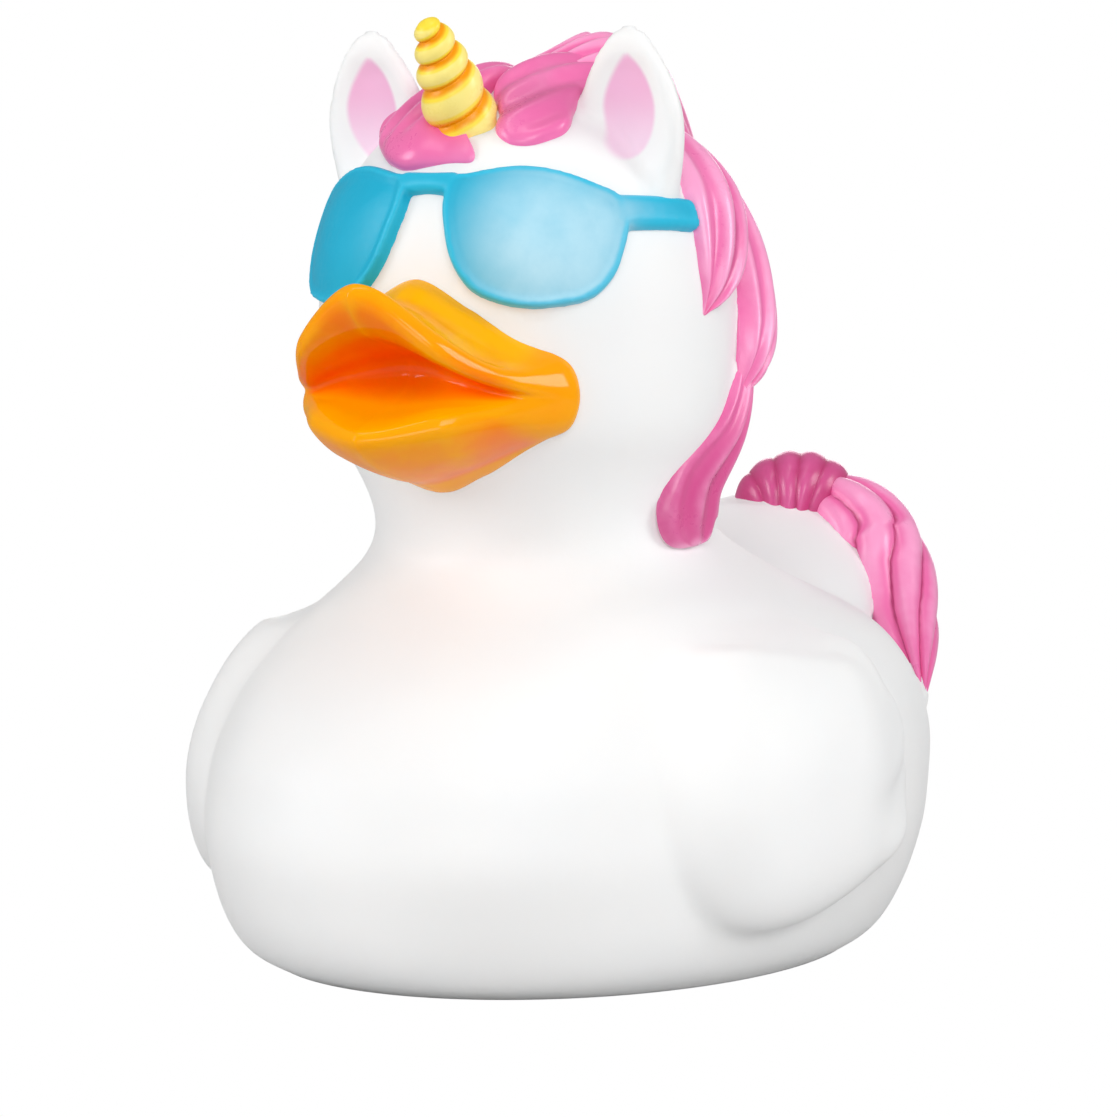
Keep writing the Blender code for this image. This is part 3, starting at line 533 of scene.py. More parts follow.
def forelocks():
    """The hair on both sides of the horn, swept down from the crest in soft folds."""
    right = ((-9.2, -15.1), (-11.2, -16.5), (-12.2, -18.5), (-10.6, -21.8), (-8, -24.8), (-5.7, -26.4),
             (-3.7, -27.1), (-1.5, -27.1), (1.7, -26.7), (3.8, -26.3), (3.9, -25.5), (2.5, -24.3),
             (0.2, -22), (-0.6, -17), (0, -11), (-1, -6), (-4, -5), (-7.5, -9))
    left = ((4.1, -20.8), (4.6, -22.4), (5.9, -23.2), (7.6, -23.2), (9.4, -22.1), (11, -19.6), (11.2, -17.7),
            (10.4, -15.4), (9.8, -12.5), (9.4, -8.5), (8, -4), (4, -2), (0, -4), (-1.5, -9), (0.2, -15.5),
            (2.6, -18.8))

    def right_rise(x, y):
        tail = 1 - 0.45 * step(-3, 1, x) * step(21, 23, -y)
        folds = 0.3 * math.cos(math.tau * (0.96 * x - 0.27 * y) / 2.9 + 0.4) * (1 - step(21, 25, -y))
        return HAIR_LIFT * (0.55 + 0.35 * (1 - step(10, 22, -y))) * tail + folds

    def left_rise(x, y):
        folds = 0.32 * math.cos(math.tau * (0.909 * x - 0.417 * y) / 3.7 + 1.0) * (1 - step(20, 23.5, -y))
        return HAIR_LIFT * (0.45 + 0.85 * (1 - step(4, 21, -y)) * step(-4, 3, x)) + folds

    return [drape("forelock_right", right, (-4.5, -19), right_rise),
            drape("forelock_left", left, (5.4, -14), left_rise)]


def rope(name, path, ridges, groove, rings, around=48, along=56):
    """A thick lock with combed ridges round it, which wind with rings turns along it.
    path rows are X, Y, Z of its middle and its radius."""
    points = through([row[:3] for row in path])
    sizes = through([(row[3], 0, 0) for row in path])

    def form(share, turn):
        place = points(share)
        ahead = (points(min(share + 0.01, 1.0)) - points(max(share - 0.01, 0.0))).normalized()
        side = ahead.cross(Vector((0, 0.3, 1))).normalized()
        comb = 1 - abs(math.cos(ridges * turn / 2 + math.pi * rings * share)) ** 0.8
        end = math.sin(math.pi * share) ** 0.4
        radius = max(sizes(share)[0] - groove * comb, 0.1) * end
        return place + side * (radius * math.cos(turn)) + side.cross(ahead) * (radius * math.sin(turn))

    return drawn_out(name, form, around, along)


def hair():
    """The forelocks, the crest, the side lock, the long strands and the horse tail."""
    crest = ((1.2, -15, 92.0, 5, 0.9), (1.8, -8, 92.7, 6.6, 1.35), (4.2, -1.5, 92.0, 7.2, 2.35),
             (2.4, 6, 89.4, 8.4, 1.8), (1.4, 11.5, 82.5, 10.4, 1.3), (1.2, 14, 72, 10.5, 1.1),
             (1, 13.3, 62, 8.5, 1), (2, 11.5, 54, 5, 0.8), (4, 11.5, 48.5, 1.5, 0.3))
    side = ((10, -3.5, 88.5, 3.5, 0.8), (14, -2.5, 86, 4.6, 1), (18.3, -3.5, 81.5, 5.6, 1.1),
            (20.5, -5, 76.5, 5.2, 1), (21.7, -7.5, 72, 3.6, 0.8), (22.2, -9.6, 69, 0.8, 0.3))
    back = ((6.5, 5, 88, 4, 0.8), (11.5, 6.2, 83.5, 5, 1), (15.2, 7, 77, 5.2, 1.15),
            (18.3, 5.0, 70, 5, 1.25), (20.9, 1.6, 64.4, 3.8, 1.1), (21.6, -1.2, 60.2, 1.4, 0.5))
    neck = ((19.2, 3.4, 68.5, 2.4, 0.5), (20.4, 0.8, 62.6, 2.8, 0.7), (20.2, -2.0, 57, 3.3, 0.8),
            (18.6, -5.2, 51.5, 4.9, 0.8), (18.5, -6.0, 47.6, 6.4, 0.8), (19.4, -5.8, 44.6, 6.9, 0.65))
    cap = ((-2.8, 43.3, 44.2, 4.8), (1.4, 45.4, 45.3, 5.8), (6, 46.8, 45.1, 6.2), (10, 47, 43.6, 5.8))
    fall = ((3, 46.4, 44.6, 5.0), (7, 47.2, 44.8, 6), (11, 47.1, 42.9, 6.5), (13.7, 46.4, 39.6, 6.6),
            (16.4, 44.8, 36, 6.0), (19.6, 42, 32.4, 4.9), (22.9, 38.2, 29.3, 3.5), (25.8, 34.4, 26.8, 2.0),
            (28.2, 31, 24.8, 0.6))
    return forelocks() + [
        lock("crest", crest, 6, 0.0, 1.1, around=72, along=64),
        lock("side_lock", side, 3, 1.0, 0.9),
        lock("back_strand", back, 4, 0.3, 0.9),
        lock("neck_strand", neck, 3, 0.3, 0.7),
        rope("tail_cap", cap, 2, 0.45, 6, along=72),
        rope("tail_fall", fall, 7, 1.0, 0.9, around=64),
    ]


# Surfaces, and the marks that the paint follows

PAINT_DEPTH = 0.75
MOST_ROUNDS = 400
# Linings of the ears: middle across and up, half width and half height
LINING_MIDDLE = (15.9, 90.6)
LINING_REACH = (3.3, 5.7)
LINING_FRONT = -12.0


def sunk(mesh, depth):
    """A copy of a form drawn in along its normals, to swell the white skin under it."""
    other = mesh.copy()
    normals = [vert.normal.copy() for vert in other.vertices]
    for vert, normal in zip(other.vertices, normals):
        vert.co -= normal * depth * MM
    return other


def joined(name, meshes):
    """The forms in one mesh, still as separate surfaces."""
    shape = bmesh.new()
    for mesh in meshes:
        shape.from_mesh(mesh)
    whole = bpy.data.meshes.new(name)
    shape.to_mesh(whole)
    shape.free()
    return whole


def thing(name, data):
    """A new object in the scene."""
    item = bpy.data.objects.new(name, data)
    bpy.context.scene.collection.objects.link(item)
    return item


def fused(name, meshes, voxel, rounds):
    """The forms as one closed surface, evened out as a mould has it."""
    item = thing(name, joined(name, meshes))
    remesh = item.modifiers.new("fuse", "REMESH")
    remesh.mode = "VOXEL"
    remesh.voxel_size = voxel * MM
    soften = item.modifiers.new("soften", "SMOOTH")
    soften.factor = 0.5
    soften.iterations = rounds
    bpy.context.view_layer.update()
    graph = bpy.context.evaluated_depsgraph_get()
    mesh = bpy.data.meshes.new_from_object(item.evaluated_get(graph), depsgraph=graph)
    bpy.data.objects.remove(item, do_unlink=True)
    return mesh


def places_and_edges(mesh):
    """The mesh's points in millimetres, and the two ends of its edges."""
    place = np.zeros(len(mesh.vertices) * 3)
    mesh.vertices.foreach_get("co", place)
    ends = np.zeros(len(mesh.edges) * 2, int)
    mesh.edges.foreach_get("vertices", ends)
    return place.reshape(-1, 3) / MM, ends.reshape(-1, 2).T


def evened(place, ends, width, share):
    """The points drawn toward their neighbours until bumps up to width mm are gone, where share is 1."""
    one, other = ends
    count = len(place)
    near = np.bincount(one, minlength=count) + np.bincount(other, minlength=count)
    pull = 0.6 * np.reshape(share, (-1, 1))
    even = place.copy()
    spacing = np.linalg.norm(place[one] - place[other], axis=1).mean()
    for _ in range(min(int((width / spacing) ** 2) + 1, MOST_ROUNDS)):
        total = np.zeros_like(even)
        for axis in range(3):
            total[:, axis] = np.bincount(one, even[other, axis], count)
            total[:, axis] += np.bincount(other, even[one, axis], count)
        even += pull * (total / near[:, None] - even)
    return even


def groove_marks(mesh, width, strength=1.0):
    """Marks how deep each point lies in a groove up to width mm wide. Ridges come out below 0."""
    place, ends = places_and_edges(mesh)
    normal = np.zeros(len(place) * 3)
    mesh.vertices.foreach_get("normal", normal)
    depth = ((evened(place, ends, width, 1.0) - place) * normal.reshape(-1, 3)).sum(1)
    marks = mesh.attributes.new("groove", "FLOAT", "POINT")
    marks.data.foreach_set("value", np.clip(strength * depth / np.percentile(np.abs(depth), 90), -1, 1))


def horn_marks(mesh):
    """Marks the horn's winding groove: 1 in its middle, and 0 a fifth of a turn above and below it."""
    along, turn = ([item.value for item in mesh.attributes[name].data] for name in ("along", "round"))
    values = []
    for share, way_round in zip(along, turn):
        up, phase = horn_winding(share, math.tau * ((way_round + 0.5) % 1 - 0.5))
        off = abs((phase + 0.5) % 1 - 0.5)
        tip = 1 - step(0.90, 0.97, up / HORN_LENGTH)
        values.append((1 - (off / HORN_BAND) ** 2) * tip * step(0.02, 0.1, up / HORN_LENGTH))
    mesh.attributes.new("groove", "FLOAT", "POINT").data.foreach_set("value", values)


def rounded_corners(mesh):
    """Rounds off the bill's two ends, where its lips meet at the corners of the mouth."""
    start, reach, width = 9.5, 3.5, 3.4
    place, ends = places_and_edges(mesh)
    share = np.clip((np.abs(place[:, 0]) - start) / reach, 0, 1) ** 2
    even = evened(place, ends, width, share)
    even[:, 0] *= 1 + 0.05 * share
    mesh.vertices.foreach_set("co", (even * MM).ravel())
    mesh.update()
    return mesh


def lining_marks(mesh):
    """Marks the hollow of each ear: 1 in its middle, 0 at its edge and below that outside."""
    values = []
    for vert in mesh.vertices:
        across = (abs(vert.co.x) / MM - LINING_MIDDLE[0]) / LINING_REACH[0]
        up = (vert.co.z / MM - LINING_MIDDLE[1]) / LINING_REACH[1]
        off = abs(across) ** 1.3 + abs(up) ** (1.6 if up > 0 else 2.2)
        in_front = vert.normal.y < -0.1 and vert.co.y < LINING_FRONT * MM
        values.append(1 - off if in_front else -1.0)
    mesh.attributes.new("lining", "FLOAT", "POINT").data.foreach_set("value", values)


def build_skin(white, coloured):
    """The white skin, which also swells under each coloured form."""
    under = [sunk(mesh, PAINT_DEPTH) for mesh in coloured]
    mesh = fused("duck_skin", white + under, SKIN_CELL, 5)
    lining_marks(mesh)
    return mesh


def cut_flat(mesh):
    """Cuts off what lies below the floor and closes the base, with the squeaker's seat and bore in it."""
    shape = bmesh.new()
    shape.from_mesh(mesh)
    bmesh.ops.bisect_plane(shape, geom=shape.verts[:] + shape.edges[:] + shape.faces[:], dist=1e-6,
                           plane_co=(0, 0, BASE_LEVEL * MM), plane_no=(0, 0, 1), clear_inner=True)
    rim = [edge for edge in shape.edges if edge.is_boundary]
    pocket = SQUEAKER_BORE + POCKET_WIDENING
    profile = ((SQUEAKER_FLANGE, BASE_LEVEL), (SQUEAKER_FLANGE, SQUEAKER_SINK),
               (SQUEAKER_BORE, SQUEAKER_SINK), (SQUEAKER_BORE, COLLAR_HEIGHT),
               (pocket, COLLAR_HEIGHT), (pocket, POCKET_TOP))
    centre = Vector((0, SQUEAKER_PLACE, 0))
    turns = [math.tau * k / RING_POINTS for k in range(RING_POINTS)]
    rings = []
    for radius, height in profile:
        ring = [Vector((radius * math.cos(turn), radius * math.sin(turn), height)) for turn in turns]
        rings.append([shape.verts.new((centre + point) * MM) for point in ring])
    for low, high in zip(rings, rings[1:]):
        for k in range(RING_POINTS):
            shape.faces.new((low[k], low[k - 1], high[k - 1], high[k]))
    shape.faces.new(rings[-1])
    mouth = [shape.edges.get((rings[0][k], rings[0][k - 1])) for k in range(RING_POINTS)]
    bmesh.ops.triangle_fill(shape, edges=rim + mouth, use_beauty=True, use_dissolve=False, normal=(0, 0, -1))
    bmesh.ops.recalc_face_normals(shape, faces=shape.faces[:])
    shape.to_mesh(mesh)
    shape.free()


def middle_of(meshes):
    """Half way between the forms' ends along X and Y, as the model is centred."""
    rows = [[vert.co[axis] for mesh in meshes for vert in mesh.vertices] for axis in (0, 1)]
    return Vector([(min(row) + max(row)) / 2 for row in rows] + [0])


# Materials

PINK = (0.88, 0.165, 0.43)
BLUE = (0.0, 0.42, 0.64)
# Middle of the painted sheen on the left lens, where the blue is mixed lighter, in the model's millimetres
# before it is centred
PAINTED_SHEEN_PLACE = Vector((14.5, -26.0, 77.0))
# The bill's paint round its section: from above over the upper lip, through the mouth, to below. Its redder
# band in the hollow of the mouth is painted shade.
BILL_SHADES = (
    (0.0, (1.0, 0.46, 0.0)), (0.2, (1.0, 0.46, 0.0)), (0.27, (1.0, 0.34, 0.0)), (0.33, (1.0, 0.22, 0.0)),
    (0.42, (1.0, 0.17, 0.0)), (0.5, (1.0, 0.12, 0.0)), (0.58, (1.0, 0.17, 0.0)), (0.64, (1.0, 0.42, 0.0)),
    (0.75, (1.0, 0.40, 0.0)), (0.80, (1.0, 0.23, 0.0)), (0.86, (1.0, 0.23, 0.06)),
)
# Locks whose grooves take less of the pooled paint and painted shade
GENTLE_GROOVES = {"forelock_left": 0.25, "forelock_right": 0.35, "neck_strand": 0.45, "tail_cap": 0.8}


def socket(group, name, way, kind="NodeSocketFloat"):
    return group.interface.new_socket(name=name, in_out=way, socket_type=kind)


def linked(tree, kind, **inputs):
    """A new node whose inputs are values or other nodes' outputs."""
    node = tree.nodes.new(kind)
    for name, value in inputs.items():
        entry = node.inputs[int(name[1:])] if name[0] == "_" else node.inputs[name.replace("_", " ")]
        if isinstance(value, bpy.types.NodeSocket):
            tree.links.new(value, entry)
        else:
            entry.default_value = value
    return node


def calculated(tree, operation, first, second=0.0):
    node = linked(tree, "ShaderNodeMath", _0=first, _1=second)
    node.operation = operation
    return node.outputs[0]


def attribute(tree, name):
    node = tree.nodes.new("ShaderNodeAttribute")
    node.attribute_name = name
    return node.outputs["Fac"]


def own_place(tree):
    return tree.nodes.new("ShaderNodeTexCoord").outputs["Object"]


def coordinate(tree, axis):
    """One of the object's own coordinates, in metres."""
    parts = tree.nodes.new("ShaderNodeSeparateXYZ")
    tree.links.new(own_place(tree), parts.inputs[0])
    return parts.outputs[axis]


def noise(tree, place, scale, detail=2.0, roughness=0.5):
    node = linked(tree, "ShaderNodeTexNoise", Vector=place, Scale=scale, Detail=detail, Roughness=roughness)
    return node.outputs["Fac"]


def in_range(tree, value, low, high, to_low=0.0, to_high=1.0):
    node = linked(tree, "ShaderNodeMapRange", Value=value)
    node.interpolation_type = "SMOOTHSTEP"
    for name, number in (("From Min", low), ("From Max", high), ("To Min", to_low), ("To Max", to_high)):
        node.inputs[name].default_value = number
    return node.outputs["Result"]


def mixed(tree, share, first, second):
    node = tree.nodes.new("ShaderNodeMix")
    node.data_type = "RGBA"
    for index, value in ((0, share), (6, first), (7, second)):
        if isinstance(value, bpy.types.NodeSocket):
            tree.links.new(value, node.inputs[index])
        else:
            node.inputs[index].default_value = value if index == 0 else (*value, 1)
    return node.outputs[2]


def vinyl_grain():
    """The faint orange peel and uneven sheen of moulded vinyl, in the object's own coordinates."""
    group = bpy.data.node_groups.new("vinyl_grain", "ShaderNodeTree")
    socket(group, "Sheen", "INPUT")
    socket(group, "Roughness", "OUTPUT")
    socket(group, "Normal", "OUTPUT", "NodeSocketVector")
    start = group.nodes.new("NodeGroupInput")
    end = group.nodes.new("NodeGroupOutput")
    place = own_place(group)
    drift = in_range(group, noise(group, place, 120, 3), 0.3, 0.7, -0.05, 0.06)
    fine = in_range(group, noise(group, place, 1500, 2), 0.35, 0.65, -0.03, 0.03)
    total = calculated(group, "ADD", calculated(group, "ADD", start.outputs["Sheen"], drift), fine)
    peel = noise(group, place, 1100, 2)
    bump = linked(group, "ShaderNodeBump", Strength=0.2, Distance=0.00004, Height=peel)
    group.links.new(total, end.inputs["Roughness"])
    group.links.new(bump.outputs["Normal"], end.inputs["Normal"])
    return group


def spray_coat():
    """Sprayed paint: pooled paint and painted shade in the grooves, a painted highlight on the ridges, and a
    little drift in tone.
    """
    group = bpy.data.node_groups.new("spray_coat", "ShaderNodeTree")
    for name in ("Paint", "Deep", "Lighter"):
        socket(group, name, "INPUT", "NodeSocketColor")
    socket(group, "Groove Paint and Shade", "INPUT")
    socket(group, "Color", "OUTPUT", "NodeSocketColor")
    start = group.nodes.new("NodeGroupInput")
    end = group.nodes.new("NodeGroupOutput")
    place = own_place(group)
    rough_edge = in_range(group, noise(group, place, 700, 2), 0.3, 0.7, -0.05, 0.05)
    level = calculated(group, "ADD", attribute(group, "groove"), rough_edge)
    # Pooled paint and painted shade: the deep colour where the groove marks are high.
    pooled_paint_and_shade = calculated(group, "MULTIPLY", in_range(group, level, 0.1, 1.05), start.outputs["Groove Paint and Shade"])
    # Painted highlight: the ridges turn to the lighter colour.
    ridge_highlight = in_range(group, level, -0.1, -1.0, 0.0, 0.7)
    patch = in_range(group, noise(group, place, 110, 3), 0.4, 0.75, 0.0, 0.25)
    ridge_highlight_and_drift = calculated(group, "ADD", ridge_highlight, patch)
    lighter = mixed(group, ridge_highlight_and_drift, start.outputs["Paint"], start.outputs["Lighter"])
    group.links.new(mixed(group, pooled_paint_and_shade, lighter, start.outputs["Deep"]), end.inputs["Color"])
    return group


def new_material(name):
    material = bpy.data.materials.new(name)
    material.use_nodes = True
    return material, material.node_tree, material.node_tree.nodes["Principled BSDF"]


def finish(tree, shader, grain, sheen):
    """The moulded grain, with sheen as its mean roughness."""
    node = tree.nodes.new("ShaderNodeGroup")
    node.node_tree = grain
    node.inputs["Sheen"].default_value = sheen
    tree.links.new(node.outputs["Roughness"], shader.inputs["Roughness"])
    tree.links.new(node.outputs["Normal"], shader.inputs["Normal"])


def soft(shader, weight, reach, tint):
    """Light that enters the vinyl and comes out a little further on."""
    shader.inputs["Subsurface Weight"].default_value = weight
    shader.inputs["Subsurface Scale"].default_value = reach
    shader.inputs["Subsurface Radius"].default_value = tint


def painted(name, coat, grain, paint, deep, lighter, sheen, groove_paint_and_shade=1.0, gloss=0.3, varnish=0.0, smear=0.11):
    """A sprayed paint. groove_paint_and_shade is how far it turns to the deep colour in the grooves, as
    pooled paint and painted shade; lighter is the colour of the painted highlight on the ridges and of
    thinner patches; varnish and smear are the weight and roughness of a clear coat."""
    material, tree, shader = new_material(name)
    node = tree.nodes.new("ShaderNodeGroup")
    node.node_tree = coat
    for entry, color in (("Paint", paint), ("Deep", deep), ("Lighter", lighter)):
        node.inputs[entry].default_value = (*color, 1)
    node.inputs["Groove Paint and Shade"].default_value = groove_paint_and_shade
    tree.links.new(node.outputs["Color"], shader.inputs["Base Color"])
    finish(tree, shader, grain, sheen)
    shader.inputs["Coat Weight"].default_value = varnish
    shader.inputs["Coat Roughness"].default_value = smear
    shader.inputs["Specular IOR Level"].default_value = gloss
    return material, tree, shader, node


def white_vinyl(grain):
    """The bare skin, a little uneven in tone, with pink sprayed into the ears."""
    material, tree, shader = new_material("white_vinyl")
    tone = in_range(tree, noise(tree, own_place(tree), 60, 3), 0.3, 0.7)
    base = mixed(tree, tone, (0.905, 0.91, 0.912), (0.92, 0.92, 0.915))
    patch = in_range(tree, attribute(tree, "lining"), -0.04, 0.22)
    high = in_range(tree, coordinate(tree, "Z"), 0.086, 0.093)
    pink = mixed(tree, high, (0.93, 0.70, 0.84), (0.90, 0.50, 0.72))
    tree.links.new(mixed(tree, patch, base, pink), shader.inputs["Base Color"])
    finish(tree, shader, grain, 0.5)
    shader.inputs["Specular IOR Level"].default_value = 0.3
    soft(shader, 0.2, 0.0012, (1.0, 0.92, 0.88))
    return material


def bill_paint(coat, grain):
    """Orange, yellower over the top and on the floor of the mouth, and redder in the mouth's hollow as
    painted shade.
    """
    material, tree, shader, node = painted("orange_paint", coat, grain, (1, 0.4, 0), (0.85, 0.12, 0),
                                           (1, 0.42, 0.0), 0.42, groove_paint_and_shade=0.45, gloss=0.0, varnish=0.45)
    ramp = tree.nodes.new("ShaderNodeValToRGB")
    shades = ramp.color_ramp.elements
    shades.remove(shades[1])
    shades[0].color = (*BILL_SHADES[0][1], 1)
    for place, color in BILL_SHADES[1:]:
        shades.new(place).color = (*color, 1)
    # Painted shade: the ramp turns redder down in the hollow of the mouth.
    tree.links.new(attribute(tree, "round"), ramp.inputs["Fac"])
    corner = in_range(tree, calculated(tree, "ABSOLUTE", coordinate(tree, "X")), 0.0112, 0.0136)
    tree.links.new(mixed(tree, corner, ramp.outputs["Color"], (1.0, 0.36, 0.0)), node.inputs["Paint"])
    soft(shader, 0.1, 0.001, (1.0, 0.35, 0.1))
    return material


def pink_paint(name, coat, grain, paint=PINK, low=None, lighter=(1.0, 0.42, 0.68)):
    """Pink on the hair. With low, it turns to that deeper pink toward the lock's foot, a painted shade."""
    material, tree, _, node = painted(name, coat, grain, paint, (0.50, 0.04, 0.17), lighter, 0.34,
                                      gloss=0.4, varnish=0.3, smear=0.2)
    if low:
        # Painted shade: deeper pink low down on the lock.
        down = in_range(tree, coordinate(tree, "Z"), 0.064, 0.050)
        tree.links.new(mixed(tree, down, paint, low), node.inputs["Paint"])
    return material


def blue_paint(coat, grain, shift):
    """Blue on the sunglasses, with a painted sheen that makes it lighter over the middle of the left lens.
    """
    material, tree, _, node = painted("blue_paint", coat, grain, BLUE, (0.0, 0.27, 0.48),
                                      (0.02, 0.52, 0.76), 0.46, groove_paint_and_shade=0.5, gloss=0.35)
    # Painted sheen: streaky lighter blue round the middle of the left lens.
    away = linked(tree, "ShaderNodeVectorMath", _0=own_place(tree), _1=PAINTED_SHEEN_PLACE * MM - shift)
    away.operation = "DISTANCE"
    streak = in_range(tree, noise(tree, own_place(tree), 160, 4, 0.6), 0.3, 0.7, 0.88, 1.12)
    lighter = in_range(tree, away.outputs["Value"], 0.0135, 0.003, 0.0, 0.85)
    share = calculated(tree, "MULTIPLY", streak, lighter)
    tree.links.new(mixed(tree, share, BLUE, (0.5, 0.78, 0.90)), node.inputs["Paint"])
    return material


def moulded_plastic(name, grain, light, dark, sheen, cloudy=0.0):
    """Natural plastic with a slightly cloudy tone and faint flow marks."""
    material, tree, shader = new_material(name)
    place = own_place(tree)
    tone = in_range(tree, noise(tree, place, 420, 3), 0.35, 0.7)
    flow = in_range(tree, noise(tree, place, 2600, 4, 0.7), 0.5, 0.72, 0.0, 0.5)
    drift = mixed(tree, tone, light, tuple(0.92 * part for part in light))
    tree.links.new(mixed(tree, flow, drift, dark), shader.inputs["Base Color"])
    finish(tree, shader, grain, sheen)
    shader.inputs["Transmission Weight"].default_value = cloudy
    return material


def dress_squeaker(grain):
    """Gives the squeaker's own pieces their plastic."""
    cup = moulded_plastic("squeaker_plastic", grain, (0.84, 0.84, 0.80), (0.5, 0.5, 0.46), 0.42)
    whistle = moulded_plastic("whistle_plastic", grain, (0.74, 0.76, 0.74), (0.4, 0.42, 0.4), 0.36)
    reed = moulded_plastic("reed_film", grain, (0.68, 0.74, 0.78), (0.35, 0.4, 0.44), 0.22, 0.3)
    for name, material in (("squeaker_cup", cup), ("squeaker_whistle", whistle), ("squeaker_reed", reed)):
        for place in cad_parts[name].material_slots:
            place.material = material


# The studio

WORLD_LIGHT = 0.28
FLOOR_TONE = 0.62
DUCK_MIDDLE = 0.05
# Soft boxes: degrees round and up, metres away, width, height and watts
SOFT_BOXES = {
    "key": (43, 28, 1.0, 0.4, 0.4, 2.65),
    "front": (20, 3, 1.0, 0.5, 0.4, 2.15),
    "left": (-45, 22, 0.9, 0.4, 0.4, 2.85),
    "right": (106, 26, 0.9, 0.3, 0.4, 2.95),
    "top": (-20, 74, 0.9, 0.12, 0.7, 1.1),
    "back": (205, 8, 0.9, 0.5, 0.5, 1.7),
}
# The camera: degrees round and down, millimetres away, up and to its left, and its lens
CAMERA_TURN = 31.0
CAMERA_PITCH = 5.05
CAMERA_AWAY = 469
CAMERA_HEIGHT = 83.4
CAMERA_LEFT = 0.9
FOCAL_PIXELS = 4324
PHOTO_PIXELS = 1117
SENSOR_WIDTH = 36


def aim(item, place, target):
    item.location = place
    item.rotation_euler = (Vector(target) - Vector(place)).to_track_quat("-Z", "Y").to_euler()


def around(azimuth, rise, away):
    """A place seen from the duck at an angle round from its front toward its left, and at an angle up."""
    azimuth, rise = math.radians(azimuth), math.radians(rise)
    return (away * math.cos(rise) * math.sin(azimuth), -away * math.cos(rise) * math.cos(azimuth),
            away * math.sin(rise) + DUCK_MIDDLE)


def softbox(name, place, width, height, power):
    light = bpy.data.lights.new(name, "AREA")
    light.shape = "RECTANGLE"
    light.size = width
    light.size_y = height
    light.energy = power
    aim(thing(name, light), place, (0, 0, DUCK_MIDDLE))


def studio_camera(shift):
    """Seen from the duck's left front, a little from above."""
    azimuth, pitch = math.radians(CAMERA_TURN), math.radians(CAMERA_PITCH)
    right = Vector((math.cos(azimuth), math.sin(azimuth), 0))
    toward = Vector((math.sin(azimuth), -math.cos(azimuth), 0))
    camera = bpy.data.cameras.new("camera")
    camera.sensor_width = SENSOR_WIDTH
    camera.lens = FOCAL_PIXELS / PHOTO_PIXELS * SENSOR_WIDTH
    camera.clip_start = 0.01
    item = thing("camera", camera)
    place = (toward * CAMERA_AWAY + Vector((0, 0, CAMERA_HEIGHT)) - right * CAMERA_LEFT) * MM - shift
    ahead = -toward * math.cos(pitch) - Vector((0, 0, 1)) * math.sin(pitch)
    aim(item, place, place + ahead)
    bpy.context.scene.camera = item


def white_world():
    """Soft light from all round, which the camera itself sees as plain white."""
    world = bpy.data.worlds.new("studio")
    bpy.context.scene.world = world
    world.use_nodes = True
    tree = world.node_tree
    back = tree.nodes["Background"]
    path = tree.nodes.new("ShaderNodeLightPath")
    strength = in_range(tree, path.outputs["Is Camera Ray"], 0, 1, WORLD_LIGHT, 1.0)
    tree.links.new(strength, back.inputs["Strength"])
    back.inputs["Color"].default_value = (1, 1, 1, 1)


def white_floor():
    """A light grey floor that the camera sees as plain white."""
    shape = bmesh.new()
    bmesh.ops.create_grid(shape, x_segments=1, y_segments=1, size=1.5)
    mesh = bpy.data.meshes.new("floor")
    shape.to_mesh(mesh)
    shape.free()
    floor = thing("floor", mesh)
    material, tree, shader = new_material("floor_white")
    shader.inputs["Base Color"].default_value = (FLOOR_TONE, FLOOR_TONE, FLOOR_TONE, 1)
    shader.inputs["Roughness"].default_value = 0.9
    path = tree.nodes.new("ShaderNodeLightPath")
    glow = linked(tree, "ShaderNodeEmission", Color=(1, 1, 1, 1), Strength=1.0)
    mix = linked(tree, "ShaderNodeMixShader", Fac=path.outputs["Is Camera Ray"], _1=shader.outputs[0],
                 _2=glow.outputs[0])
    tree.links.new(mix.outputs[0], tree.nodes["Material Output"].inputs["Surface"])
    mesh.materials.append(material)


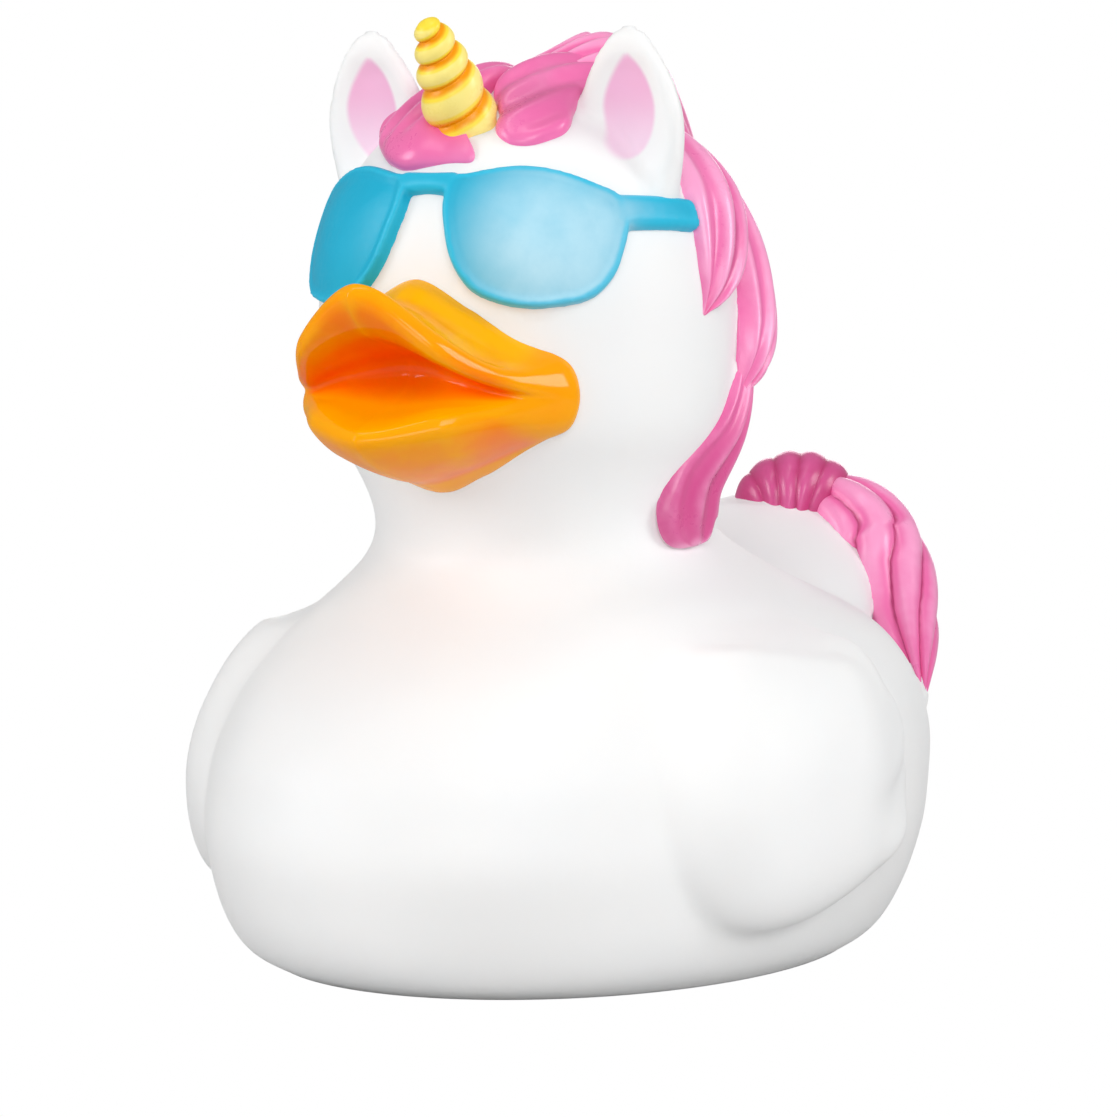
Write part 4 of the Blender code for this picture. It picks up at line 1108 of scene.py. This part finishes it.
def piece(name, mesh, material, shift, node="duck"):
    """A visible piece, centred as the model is, in place of a node of it."""
    mesh.transform(Matrix.Translation(-shift))
    mesh.materials.clear()
    mesh.materials.append(material)
    mesh.shade_smooth()
    item = thing(name, mesh)
    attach(item, "root")
    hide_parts(node)


def paint_hair(locks, coat, grain, shift):
    """Marks and paints each lock, with painted shade on the tail's cap and the neck strand's foot, in a
    deeper pink.
    """
    pink = pink_paint("pink_paint", coat, grain)
    # Painted shade: the tail's cap in a deeper pink all over.
    shaded = pink_paint("pink_paint_deep", coat, grain, (0.52, 0.035, 0.17), lighter=(0.72, 0.12, 0.34))
    foot = pink_paint("pink_paint_foot", coat, grain, low=(0.66, 0.075, 0.27))
    paints = {"tail_cap": shaded, "neck_strand": foot}
    for mesh in locks:
        groove_marks(mesh, 2.0, GENTLE_GROOVES.get(mesh.name, 1.0))
        piece(mesh.name, mesh, paints.get(mesh.name, pink), shift)


def main():
    grain, coat = vinyl_grain(), spray_coat()
    white = [torso(), rump()]
    for form in (wing(), ear()):
        white += [form, mirrored(form)]
    glasses = [bridge()]
    for form in (lens(), temple()):
        glasses += [form, mirrored(form)]
    beak, spike, locks = rounded_corners(bill()), horn(), hair()
    coloured = [beak, spike] + glasses + locks
    skin_mesh = build_skin(white, coloured)
    cut_flat(skin_mesh)
    shift = middle_of([skin_mesh] + locks)

    piece("duck_skin", skin_mesh, white_vinyl(grain), shift)
    frames = fused("sunglasses", glasses, GLASSES_CELL, 4)
    piece("sunglasses", frames, blue_paint(coat, grain, shift), shift)
    groove_marks(frames, 1.2)
    piece("bill", beak, bill_paint(coat, grain), shift)
    groove_marks(beak, 2.2)
    yellow = painted("yellow_paint", coat, grain, (1.0, 0.76, 0.05), (0.95, 0.36, 0.0),
                     (1.0, 0.86, 0.30), 0.34, groove_paint_and_shade=1.1)[0]
    piece("horn", spike, yellow, shift)
    horn_marks(spike)
    paint_hair(locks, coat, grain, shift)
    dress_squeaker(grain)

    studio_camera(shift)
    white_world()
    white_floor()
    for name, (azimuth, rise, away, width, height, power) in SOFT_BOXES.items():
        softbox(name, around(azimuth, rise, away), width, height, power)

    scene = bpy.context.scene
    scene.view_settings.view_transform = "Standard"


main()
